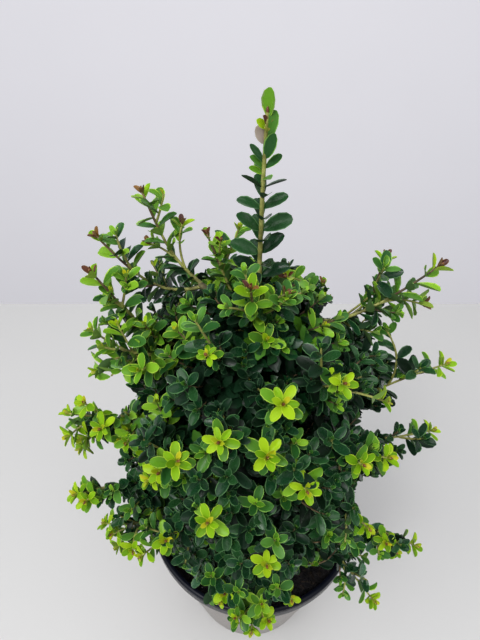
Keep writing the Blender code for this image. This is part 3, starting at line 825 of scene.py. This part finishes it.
def trimmed(limb):
    """The limb without an end that would stand in an opening."""
    if not in_opening(limb.points[-1]):
        return limb
    last = max([1] + [i for i, point in enumerate(limb.points) if not in_opening(point)])
    return Limb(limb.points[: last + 1], limb.radii[: last + 1])


def crosses_opening(limb):
    """Whether the outer half of a twig would stand in an opening."""
    return any(in_opening(point) for point in limb.points[len(limb.points) // 2 :])


def bowed(shoot):
    """The shoot with its middle moved aside where the photo shows a bow."""
    shift = Vector(BOWS.get(shoot.name, (0, 0, 0))) * MM
    last = len(shoot.limb.points) - 1
    points = [p + shift * math.sin(math.pi * i / last) for i, p in enumerate(shoot.limb.points)]
    return shoot._replace(limb=Limb(points, shoot.limb.radii))


def clear_of_pot(point):
    return point.z > POT_HEIGHT + CLEARANCE or math.hypot(point.x, point.y) > RIM_RADIUS + CLEARANCE


def twig_limbs(number, shoots, space):
    """Side twigs: they leave the stem in turn to several sides, as long as their space lets."""
    shoot = shoots[number]
    chance = random.Random(shoot.seed)
    made = []
    for k in range(TWIGS):
        share = FIRST_TWIG + TWIGS_SPAN * k / (TWIGS - 1) + chance.uniform(-0.04, 0.04)
        turn = math.radians(360 * k / TWIGS + 60 + chance.uniform(-30, 30))
        start, along, _ = along_limb(shoot.limb, share)
        heading = along * math.cos(TWIG_ANGLE) + turned_across(along, turn) * math.sin(TWIG_ANGLE)
        for length in TWIG_LENGTHS:
            end = start + heading * length + UP * length * TWIG_RISE
            too_far = math.hypot(end.x, end.y) > crown_radius(end.z) + TWIG_OUTSIDE
            if length > SHORT_TWIG and too_far:
                continue
            if in_own_space([start.lerp(end, 0.5), end], number, space) and clear_of_pot(end):
                twig = curved_limb(start, start + heading * length * TWIG_BEND, end, TWIG_RADII, 6)
                if not crosses_opening(twig):
                    made.append(twig)
                    break
    return made


def side_shoot(parent, tip):
    """A shoot to this tip from the place on its parent that lies a little behind and below it."""
    goal = tip - (outward(tip) * 0.8 + UP * 0.5) * SIDE_BEHIND * MM
    share = min(SIDE_PLACES, key=lambda s: (along_limb(parent, s)[0] - goal).length)
    start, along, _ = along_limb(parent, share)
    control = start + (along * 0.25 + UP * 0.1) * (tip - start).length + (tip - start) * 0.25
    return curved_limb(start, control, tip, TWIG_RADII, 8)


def axil_twigs(limb, back, chance):
    """Short twigs from the axils along a shoot, longer the older they are."""
    length = limb_length(limb)
    made = []
    turn = chance.uniform(0, math.pi)
    while back < AXIL_END * length:
        start, along, _ = along_limb(limb, 1 - back / length)
        heading = along * 0.72 + turned_across(along, turn) * 0.7 + UP * 0.15
        reach = min(AXIL_REACH, back * AXIL_GROWTH) * chance.uniform(0.7, 1.1)
        end = start + heading.normalized() * reach
        twig = curved_limb(start, start.lerp(end, 0.5) - UP * reach * 0.1, end, FINE_RADII, 5)
        if clear_of_pot(end) and not crosses_opening(twig):
            made.append(twig)
        back += chance.uniform(*AXIL_STEP) * MM
        turn += math.pi / 2 + chance.uniform(0.3, 1.2)
    return made


def fine_twigs(stems, count, depth, chance):
    """Twigs that end at this depth inside the crown's body, each grown from the nearest limb."""
    nodes = [point for limb in stems for point in limb.points]
    places = np.array(nodes)
    made = []
    low, high = LOWEST_TWIG, CROWN_MIDDLE + CROWN_UP
    for k in range(count):
        height = low + (high - low) * ((k + 0.5) / count) ** 1.06
        reach = max(4 * MM, crown_radius(height) - chance.uniform(*depth))
        turn = k * GOLDEN_ANGLE + chance.uniform(-8, 8)
        tip = polar(turn, reach, height + chance.uniform(-4, 4) * MM)
        if in_hollow(tip):
            tip -= outward(tip) * HOLLOW_DEPTH
        goal = tip - (outward(tip) * 0.86 + UP * 0.5) * chance.uniform(*FINE_BEHIND) * MM
        start = nodes[int(((places - np.array(goal)) ** 2).sum(axis=1).argmin())]
        span = tip - start
        control = start + span * 0.5 + outward(tip) * FINE_BULGE * MM - UP * span.length * 0.1
        twig = curved_limb(start, control, tip, FINE_RADII, 6)
        if FINE_SPAN[0] < span.length < FINE_SPAN[1] and not crosses_opening(twig):
            made.append(twig)
    return made


# Wood


def tube_arrays(limb, sides, relief, chance):
    """Points and quads of a tapering tube whose bark stands out by up to this share of radius."""
    points = np.array(limb.points)
    ahead = np.gradient(points, axis=0)
    ahead /= np.linalg.norm(ahead, axis=1)[:, None]
    side = np.array(across(Vector(ahead[0])))
    phase = chance.uniform(0, 6)
    turns = turns_of(sides)
    rings = []
    for i in range(len(points)):
        side = side - ahead[i] * side.dot(ahead[i])
        side /= np.linalg.norm(side)
        ridge = np.sin(turns * 5 + phase + i * 0.35) * 0.6 + np.sin(turns * 11 - i * 0.9) * 0.4
        radius = limb.radii[i] * (1 + relief * (ridge + 0.5 * math.sin(i * 2.4 + phase)))
        rings.append(points[i] + circle_round(ahead[i], side, turns) * radius[:, None])
    tip = points[-1] + ahead[-1] * limb.radii[-1]
    rings.append(tip + (rings[-1] - points[-1]) * 0.15)
    return np.concatenate(rings), rings_to_quads(len(rings), sides)


def wood_object(name, limbs, finishes, fresh=None):
    """One mesh of these limbs. fresh is how long a part of each limb's end has the second finish."""
    sides, relief = WOOD[name]
    chance = random.Random(SEED)
    points, quads = joined([tube_arrays(limb, sides, relief, chance) for limb in limbs])
    slots = []
    for limb, end in zip(limbs, fresh or [0] * len(limbs)):
        length, last = limb_length(limb), len(limb.points) - 1
        slots += [length * (last - i) / last < end for i in range(last + 1)]
    return array_object(name, points, quads, finishes, np.repeat(slots, sides))


# Leaves


def leaf_pattern(stations, widths, lanes, sides):
    """A closed leaf along +X, upper side to +Z: points (t, v, lift, half-width) and triangles.

    The lanes run across the upper side, and one more with a lift of -1 lies under the midrib.
    sides says of each strip whether it is upper side (0), underside (1) or margin (2), and so
    does the third array of each triangle.
    """
    ring = [(v, 0) for v in lanes] + [(0, -1)]
    each = len(ring)
    points = [(t, v, lift, w) for t, w in zip(stations, widths) for v, lift in ring]
    faces, index = [], []
    for i in range(len(stations) - 1):
        for j, side in enumerate(sides):
            a, b = each * i + j, each * i + (j + 1) % each
            faces += [(a, a + each, b + each), (a, b + each, b)]
            index += [side, side]
    tip = each * (len(stations) - 1)
    for j in range(each - 2):
        faces += [(j, j + 1, each - 1), (tip + j + 1, tip + j, tip + each - 1)]
        index += [sides[0], sides[0]]
    return np.array(points, dtype=float), np.array(faces), np.array(index)


FULL_LEAF = leaf_pattern(
    (0, 0.13, 0.38, 0.66, 0.90, 1),
    (0.12, 0.50, 0.88, 1, 0.72, 0.26),
    (-1, -0.85, 0, 0.85, 1),
    (2, 0, 0, 2, 1, 1),
)
COARSE_LEAF = leaf_pattern((0, 0.3, 0.68, 1), (0.14, 0.82, 0.98, 0.2), (-1, 0, 1), (0, 0, 1, 1))


class Foliage:
    """Leaves gathered by kind: base, direction, upper side, length and width of each."""

    def __init__(self):
        self.rows = {(kind, fine): [] for kind in LEAVES for fine in (True, False)}

    def add(self, kind, base, out, upper, length, width):
        """Keeps a leaf unless it would stand in an opening. Deep in the crown it is a coarse one."""
        ahead = out.normalized() * length
        if any(in_opening(base + ahead * share) for share in SEEN_SHARES):
            return
        depth = crown_radius(base.z) - math.hypot(base.x, base.y)
        self.rows[kind, depth < COARSE_DEPTH].append((*base, *out, *upper, length, width))

    def build(self):
        """Each kind as pieces of fewer than MOST_TRIANGLES triangles."""
        chance = np.random.default_rng(SEED)
        made = []
        for kind in LEAVES:
            finishes = leaf_materials(kind)
            for number, (fine, pattern) in enumerate(((True, FULL_LEAF), (False, COARSE_LEAF))):
                rows = self.rows[kind, fine]
                most = MOST_TRIANGLES // len(pattern[1])
                for first in range(0, len(rows), most):
                    name = f"{kind}_leaves_{number}_{first // most}"
                    chunk = np.array(rows[first : first + most])
                    made.append(self.piece(name, chunk, pattern, finishes, chance))
        return made

    @staticmethod
    def piece(name, rows, pattern, finishes, chance):
        """One mesh of these leaves, each with its own cupping, curl and twist."""
        shape, faces, index = pattern
        count = len(rows)
        base, out, upper = rows[:, 0:3], rows[:, 3:6], rows[:, 6:9]
        length, width = rows[:, 9:10], rows[:, 10:11]
        out = out / np.linalg.norm(out, axis=1)[:, None]
        side = np.cross(upper, out)
        side /= np.linalg.norm(side, axis=1)[:, None]
        face = np.cross(out, side)
        t, v, lift, half = shape.T
        y = v * half * width / 2
        cup = chance.uniform(*LEAF_CUP, (count, 1)) * width
        curl = chance.uniform(*LEAF_CURL, (count, 1)) * length
        z = cup * np.abs(v * half) ** 1.25 - curl * t**2 + lift * LEAF_THICKNESS * (0.4 + 0.6 * half)
        twist = chance.uniform(-LEAF_TWIST, LEAF_TWIST, (count, 1)) * t
        y, z = rotated(y, z, twist)
        x = t * length
        points = base[:, None] + x[..., None] * out[:, None]
        points = points + y[..., None] * side[:, None] + z[..., None] * face[:, None]
        triangles = copies(faces, len(shape), count)
        shade = chance.integers(0, SHADES, (count, 1))
        slots = np.where(index == 0, shade, index + SHADES - 1)
        return array_object(name, points.reshape(-1, 3), triangles, finishes, slots.ravel())


def leaf_size(height):
    """(length, width) of a full-grown leaf at this height: leaves low in the crown are rounder."""
    share = clamped((height - PLUMP_BELOW) / PLUMP_FADE)
    size = LOW_LEAF + (1 - LOW_LEAF) * share
    return LEAF_LENGTH * size, LEAF_WIDTH * size * (LOW_PLUMP + (1 - LOW_PLUMP) * share)


def light_at(base):
    """Where the leaves turn to: out and up, and on the front towards the light that fell there."""
    front = clamped(0.85 - base.y / LIT_DEPTH)
    high = clamped((base.z - LIT_ABOVE) / LIT_RISE, 0.2)
    window = Vector((0, -1, 0)) * LIGHT_FRONT * front * high
    return (outward(base) * LIGHT_OUT + UP * LIGHT_UP + window).normalized()


def low_sheen_kind(kind, height, chance):
    """Deep and dark leaves low on the plant become the glossier low kind, whose paler, greyer colour is
    painted sheen.
    """
    share = LOW_LEAVES_SHARE * clamped((LOW_LEAVES_FROM - height) / LOW_LEAVES_FADE)
    return "low" if kind in ("deep", "dark") and chance.random() < share else kind


def add_pair(foliage, kind, base, along, radius, turn, angle, size, chance, light=None):
    """Two leaves on opposite sides of a twig, turned partly towards the light."""
    side = turned_across(along, turn)
    light = light or light_at(base)
    light = light + Vector([chance.uniform(-LIGHT_SPREAD, LIGHT_SPREAD) for _ in range(3)])
    for sign in (1, -1):
        reach = side * sign
        reach = (reach - UP * 0.35 * reach.z).normalized()
        lean = angle + chance.uniform(-LEAN_SPREAD, LEAN_SPREAD)
        out = along * math.cos(lean) + reach * math.sin(lean)
        upper = along * math.sin(lean) - reach * math.cos(lean) + light
        length, width = leaf_size(base.z)
        grown = size * chance.uniform(*SIZE_SPREAD)
        width *= grown * chance.uniform(*SIZE_SPREAD)
        shade = low_sheen_kind(kind, base.z, chance)
        foliage.add(shade, base + reach * radius * FOOT_INSIDE, out, upper, length * grown, width)


def leafy(foliage, limb, bare, spray, chance, size=1.0, light=None):
    """Pairs of leaves along a limb, from the small ones at its tip to its bare part."""
    length = limb_length(limb)
    rosette = spray == "young"
    rows = [(back * MM, share, angle) for back, share, angle in (ROSETTE if rosette else SHOOT_TIP)]
    spacing = PAIR_SPACING * (CLOSER if spray in LIGHT_SPRAYS else 1)
    while rows[-1][0] + spacing < length - bare:
        rows.append((rows[-1][0] + spacing, 1.0, PAIR_ANGLE))
    kinds = SPRAYS[spray].split()
    turn = chance.uniform(0, math.pi)
    for k, (back, share, angle) in enumerate(rows):
        if back > length - bare and k >= FEWEST_PAIRS:
            break
        base, along, radius = along_limb(limb, max(0.0, 1 - back / length))
        along = (along + UP * 0.7 * max(0.0, 1 - back / TIP_RISE)).normalized()
        kind = kinds[min(k, len(kinds) - 1)]
        turn += ROSETTE_TWIST if rosette and k < ROSETTE_PAIRS else PAIR_TWIST + chance.uniform(-0.3, 0.3)
        add_pair(foliage, kind, base, along, radius, turn, math.radians(angle), share * size, chance, light)


def spray_of(name):
    for spray, names in SHOOT_SPRAYS.items():
        if name in names.split():
            return spray
    return "old" if name.startswith("back_") else "young"


def spray_shares(tip):
    azimuth = math.degrees(math.atan2(tip.x, -tip.y))
    if FRESH_SIDE["first"] < azimuth < FRESH_SIDE["last"] and tip.z > FRESH_SIDE["lowest"]:
        return SPRAY_SHARES["fresh_side"]
    if tip.z > CROWN_HEIGHT:
        return SPRAY_SHARES["crown"]
    return SPRAY_SHARES["hem" if tip.z < HEM_HEIGHT and tip.y < 0 else "elsewhere"]


def grow(shoots, space, foliage, buds):
    """Puts leaves on every shoot and twig, and returns (stems, side twigs, fine twigs)."""
    chance = random.Random(SEED + 2)
    shoots = [bowed(shoot) for shoot in shoots]
    stems = [trimmed(shoot.limb) for shoot in shoots]
    by_name = {shoot.name: shoot for shoot in shoots}
    twigs, fine = [], []

    def spray(limb, bare, kind, size=1.0, light=None, with_bud=False):
        leafy(foliage, limb, bare, kind, chance, size, light)
        if with_bud and not in_opening(limb.points[-1]):
            buds.append((limb.points[-1], (limb.points[-1] - limb.points[-2]).normalized()))

    # Twigs that end in a hollow take the shaded spray, painted shade in near-black leaves
    def chosen(twig, kinds):
        return "shaded" if in_hollow(twig.points[-1]) else chance.choice(kinds)

    for number, shoot in enumerate(shoots):
        if shoot.name == LEADER[0]:
            grow_leader(shoot.limb, foliage, buds, chance)
            continue
        own = spray_of(shoot.name)
        size, light = SHOOT_SIZES.get(shoot.name, 1.0), UPWARD.get(shoot.name)
        spray(stems[number], STEM_BARE, own, size, light, True)
        clean = CLEAN_END if own in LIGHT_SPRAYS else OLD_CLEAN_END
        lighter = ["fresh", "plain"] if own in LIGHT_SPRAYS else ["plain", "old", "old", "old"]
        for twig in twig_limbs(number, shoots, space):
            twigs.append(twig)
            spray(twig, TWIG_BARE, chosen(twig, lighter))
        for twig in axil_twigs(stems[number], clean, chance):
            fine.append(twig)
            spray(twig, AXIL_BARE, chosen(twig, lighter), AXIL_SIZE)
    for name, kind, tips in SIDE_SHOOTS:
        size, light = SIDE_SIZE * SHOOT_SIZES.get(name, 1.0), UPWARD.get(name)
        for azimuth, reach, height in tips:
            limb = side_shoot(by_name[name].limb, polar(azimuth, reach * MM, height * MM))
            twigs.append(limb)
            spray(limb, SIDE_BARE, kind, size, light, kind != "plain")
    outer = fine_twigs(stems + twigs, OUTER_TWIGS, OUTER_DEPTH, chance)
    inner = fine_twigs(stems, INNER_TWIGS, INNER_DEPTH, chance)
    # Outer twigs that end in a hollow, and all inner twigs, take the shaded spray: painted shade in
    # near-black leaves
    for twig in outer:
        kind = chance.choices(["fresh", "plain", "old"], spray_shares(twig.points[-1]))[0]
        kind = "shaded" if in_hollow(twig.points[-1]) else kind
        spray(twig, max(FINE_BARE, limb_length(twig) - LEAFY_LENGTH), kind)
    for twig in inner:
        spray(twig, max(FINE_BARE, limb_length(twig) - LEAFY_LENGTH), "shaded")
    return stems, twigs, fine + outer + inner


def grow_leader(limb, foliage, buds, chance):
    """The leaves of the leader's tip, and crossed pairs that grow larger and wider apart below."""
    top, foot = limb.points[-1], limb.points[0]
    for height, azimuth, angle, length, width, kind in LEADER_TIP:
        base = foot.lerp(top, min(1.0, (height * MM - foot.z) / (top.z - foot.z)))
        side = polar(azimuth, 1, 0)
        lean = math.radians(angle)
        out = UP * math.cos(lean) + side * math.sin(lean)
        upper = UP * math.sin(lean) - side * math.cos(lean) * 0.25 + Vector((0, -1, 0.4))
        foliage.add(kind, base + side * 0.6 * MM, out, upper, length * MM, width * MM)
    height, k = LEADER_TOP_PAIR, 0
    while height > foot.z + 2 * MM:
        base, along, radius = along_limb(limb, (height - foot.z) / (top.z - foot.z))
        kind = "mid" if k < 2 else "deep"
        size = min(LEADER_SIZES[1], LEADER_SIZES[0] + LEADER_GROWTH * k)
        turn = 0.1 + k * math.pi / 2 + chance.uniform(-0.2, 0.2)
        angle = math.radians(LEADER_ANGLE + chance.uniform(-5, 5))
        light = FLAT_LIGHT if k == FLAT_PAIR else LEADER_LIGHT
        add_pair(foliage, kind, base, along, radius, turn, angle, size, chance, light)
        height -= LEADER_SPACING + k * LEADER_WIDENING
        k += 1
    buds.append((top, UP))


def bud_object(buds, finish):
    """Small pointed buds on the ends of the shoots."""
    parts = []
    for centre, axis in buds:
        circle = circle_round(np.array(axis), np.array(across(axis)), turns_of(BUD_SIDES))
        rings = [np.array(centre) + (circle * r + np.array(axis) * h) * MM for r, h in BUD]
        parts.append((np.concatenate(rings), rings_to_quads(len(BUD), BUD_SIDES)))
    return array_object("buds", *joined(parts), [finish])


# Pot and potting mix


def revolve(name, outline, sides, finishes, second):
    """A turned skin from (radius, height) points, which start and end close to the axis.

    The rows between the two places in second have the second finish.
    """
    outline = np.array(outline)
    x, y = round_grid(outline[:, 0], sides)
    z = np.repeat(outline[:, 1:], sides, axis=1)
    points = np.stack([x, y, z], axis=2).reshape(-1, 3)
    rows = np.repeat(np.arange(len(outline) - 1), sides)
    slots = ((rows >= second[0]) & (rows < second[1])).astype(int)
    return array_object(name, points, rings_to_quads(len(outline), sides), finishes, slots, crease=40)


def arc(centre, radius, first, last, steps):
    turns = [math.radians(first + (last - first) * i / steps) for i in range(steps + 1)]
    return [(centre[0] + radius * math.cos(t), centre[1] + radius * math.sin(t)) for t in turns]


def make_pot(finishes):
    """Thin wall with a rolled lip, a band below it and a second small bead under the band."""
    neck, under_rim = NECK_RADIUS, POT_HEIGHT - RIM_DEPTH
    outline = [(0.01 * MM, 0.6 * MM), (FOOT_RADIUS - 9 * MM, 0.6 * MM), (FOOT_RADIUS - 8 * MM, 0)]
    outline += arc((FOOT_RADIUS - FOOT_ROUND, FOOT_ROUND), FOOT_ROUND, -90, -8, 5)
    foot = len(outline)
    outline += [(neck - 1.2 * MM, under_rim - 6 * MM)]
    outline += arc((neck - 0.3 * MM, under_rim - 4.6 * MM), BEAD, -60, 70, 5)
    outline += [(neck, under_rim - 0.6 * MM)]
    collar = len(outline)
    outline += arc((RIM_RADIUS - 2.1 * MM, under_rim + BAND_ROUND), BAND_ROUND, -90, 0, 5)
    outline += [(RIM_RADIUS - 0.5 * MM, POT_HEIGHT - 5.5 * MM), (RIM_RADIUS - MM, POT_HEIGHT - 5 * MM)]
    outline += arc((RIM_RADIUS - LIP, POT_HEIGHT - LIP), LIP, -35, 180, 12)
    outline += [(RIM_RADIUS - 4.8 * MM, POT_HEIGHT - 5 * MM), (neck - WALL, under_rim)]
    outline += [(inner_radius(FLOOR) + MM, 4 * MM), (0.01 * MM, 4 * MM)]
    return revolve("pot_shell", outline, POT_SIDES, finishes, (foot - 4, collar))


def inner_radius(height):
    top = POT_HEIGHT - RIM_DEPTH
    share = (height - FLOOR) / (top - FLOOR)
    narrow, wide = FOOT_RADIUS - WALL, NECK_RADIUS - WALL
    return narrow + (wide - narrow) * share


def soil_lump(x, y):
    """Height of the mix's lumps in mm."""
    return 1.3 * np.sin(x * 190 + 1) * np.cos(y * 230) + 0.8 * np.sin(x * 410 - y * 350)


def make_soil(finish):
    """The mix's lumpy top, closed below down to the pot's floor."""
    rings, sides = SOIL_GRID
    chance = np.random.default_rng(SEED)
    radii = np.linspace(0.2 * MM, inner_radius(SOIL_TOP) - 0.4 * MM, rings)
    x, y = round_grid(radii, sides)
    z = SOIL_TOP + (soil_lump(x, y) + chance.uniform(-0.9, 0.9, x.shape)) * MM
    z[:3] = SOIL_TOP
    top = np.stack([x, y, z], axis=2).reshape(-1, 3)
    x, y = round_grid([inner_radius(SOIL_FOOT) - 0.5 * MM], sides)
    low = np.stack([x[0], y[0], np.full(sides, SOIL_FOOT)], axis=1)
    points = np.concatenate([top, low, low * (0.005, 0.005, 1)])
    return array_object("soil", points, rings_to_quads(rings + 2, sides)[:, ::-1], [finish])


def scatter_chips(name, finish, count, size, flat, seed, lift):
    """Small angular pieces lying on the mix."""
    chance = np.random.default_rng(seed)
    shape = np.array([(1, 0, 0), (0, 1, 0), (-1, 0, 0), (0, -1, 0), (0, 0, 1), (0, 0, -1)], dtype=float)
    ring = [(i, (i + 1) % 4) for i in range(4)]
    faces = np.array([(a, b, 4) for a, b in ring] + [(b, a, 5) for a, b in ring])
    reach = np.sqrt(chance.uniform(0.012, 1, count)) * (inner_radius(SOIL_TOP) - 3 * MM)
    turn = chance.uniform(0, math.tau, count)
    x, y = reach * np.cos(turn), reach * np.sin(turn)
    centre = np.stack([x, y, SOIL_TOP + (soil_lump(x, y) + lift) * MM], axis=1)
    scale = chance.uniform(0.5, 1.3, (count, 1, 3)) * size * np.array([1, 0.6, flat])
    points = shape[None] * scale
    spin = chance.uniform(0, math.tau, count)[:, None]
    points[..., 0], points[..., 1] = rotated(points[..., 0], points[..., 1], spin)
    points[..., 2] += chance.uniform(-0.35, 0.35, (count, 1)) * points[..., 0]
    points += centre[:, None]
    faces = copies(faces, len(shape), count)
    return array_object(name, points.reshape(-1, 3), faces, [finish], crease=10)


# Stage, lights and camera


def stage_finish(name, colour, roughness):
    shades = [tuple(part * k for part in colour) for k in (0.985, 1)]
    return patchy(name, shades, 3, roughness, 0.5, (200, 0.05, 0.0002))


def make_stage():
    """A pale table that ends behind the pot, and far behind it a pale wall that glows: its emission is
    painted light, a little weaker lower down.
    """
    table, wall = stage_finish("table", TABLE, 0.6), stage_finish("wall", BACKDROP, 0.9)
    # The wall's emission is painted light, stronger towards its top
    tree = wall.node_tree
    shader = tree.nodes["Principled BSDF"]
    shader.inputs["Emission Color"].default_value = (*BACKDROP, 1)
    place = tree.nodes.new("ShaderNodeTexCoord")
    height = tree.nodes.new("ShaderNodeSeparateXYZ")
    painted_glow = new_node(tree, "ShaderNodeMapRange", **WALL_PAINTED_GLOW)
    tree.links.new(place.outputs["Object"], height.inputs["Vector"])
    tree.links.new(height.outputs["Z"], painted_glow.inputs["Value"])
    tree.links.new(painted_glow.outputs["Result"], shader.inputs["Emission Strength"])
    near, far, side, low, high = FLOOR_EDGE, WALL_PLACE, WALL_SIDE, -WALL_SIDE, WALL_SIDE
    floor = [(-side, -side, 0), (side, -side, 0), (side, near, 0), (-side, near, 0)]
    sheet = [(-side, far, low), (side, far, low), (side, far, high), (-side, far, high)]
    for name, corners, finish in (("table", floor, table), ("wall", sheet, wall)):
        array_object(name, np.array(corners, dtype=float), np.array([(0, 1, 2, 3)]), [finish])


def area_light(name, place, target, size, power):
    light = bpy.data.lights.new(name, "AREA")
    light.size = size
    light.energy = power
    obj = linked(name, light)
    obj.location = place
    obj.rotation_euler = (Vector(target) - Vector(place)).to_track_quat("-Z", "Y").to_euler()


def make_lights():
    world = bpy.data.worlds.new("studio")
    world.use_nodes = True
    world.node_tree.nodes["Background"].inputs["Color"].default_value = WORLD_COLOUR
    world.node_tree.nodes["Background"].inputs["Strength"].default_value = WORLD_STRENGTH
    bpy.context.scene.world = world
    bpy.context.scene.view_settings.view_transform = "Standard"
    for name, row in LIGHTS.items():
        area_light(name, *row)


def make_camera():
    camera = bpy.data.cameras.new("camera")
    camera.lens = SENSOR * FOCAL_PIXELS / PHOTO_SIZE[1]
    camera.sensor_width = SENSOR
    camera.clip_start = 0.01
    camera.clip_end = 20
    obj = linked("camera", camera)
    obj.location = CAMERA_PLACE
    obj.rotation_euler = (CAMERA_PITCH, 0, 0)
    bpy.context.scene.camera = obj


def make_container(finishes):
    dress(make_pot([finishes["black_plastic"], finishes["taupe_plastic"]]), ["pot"])
    dress(make_soil(finishes["potting_mix"]), ["potting_mix"])
    for name, (finish, *looks) in CHIPS.items():
        dress(scatter_chips(name, finishes[finish], *looks))


def make_plant(finishes):
    boughs, shoots = plan()
    bark, green_bark, twig_bark = (finishes[age + "_bark"] for age in ("old", "young", "brown"))
    dress(wood_object("trunk_bark", [trunk_limb()], [bark]), ["trunk"])
    dress(wood_object("bough_bark", list(boughs.values()), [bark]), list(boughs))
    foliage, buds = Foliage(), []
    space = space_of([shoot.limb for shoot in shoots])
    stems, twigs, fine = grow(shoots, space, foliage, buds)
    fresh = [FRESH_WOOD if spray_of(shoot.name) in ("bronze", "bright") else 0 for shoot in shoots]
    dress(wood_object("shoot_stems", stems, [green_bark, twig_bark], fresh))
    dress(wood_object("side_twigs", [trimmed(twig) for twig in twigs], [green_bark]))
    dress(wood_object("fine_twigs", fine, [twig_bark]))
    pieces = foliage.build()
    for piece in pieces:
        dress(piece)
    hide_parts(*[shoot.name for shoot in shoots])
    dress(bud_object(buds, finishes["bud_bronze"]))


finishes = make_finishes()
make_container(finishes)
make_plant(finishes)
make_stage()
make_lights()
make_camera()
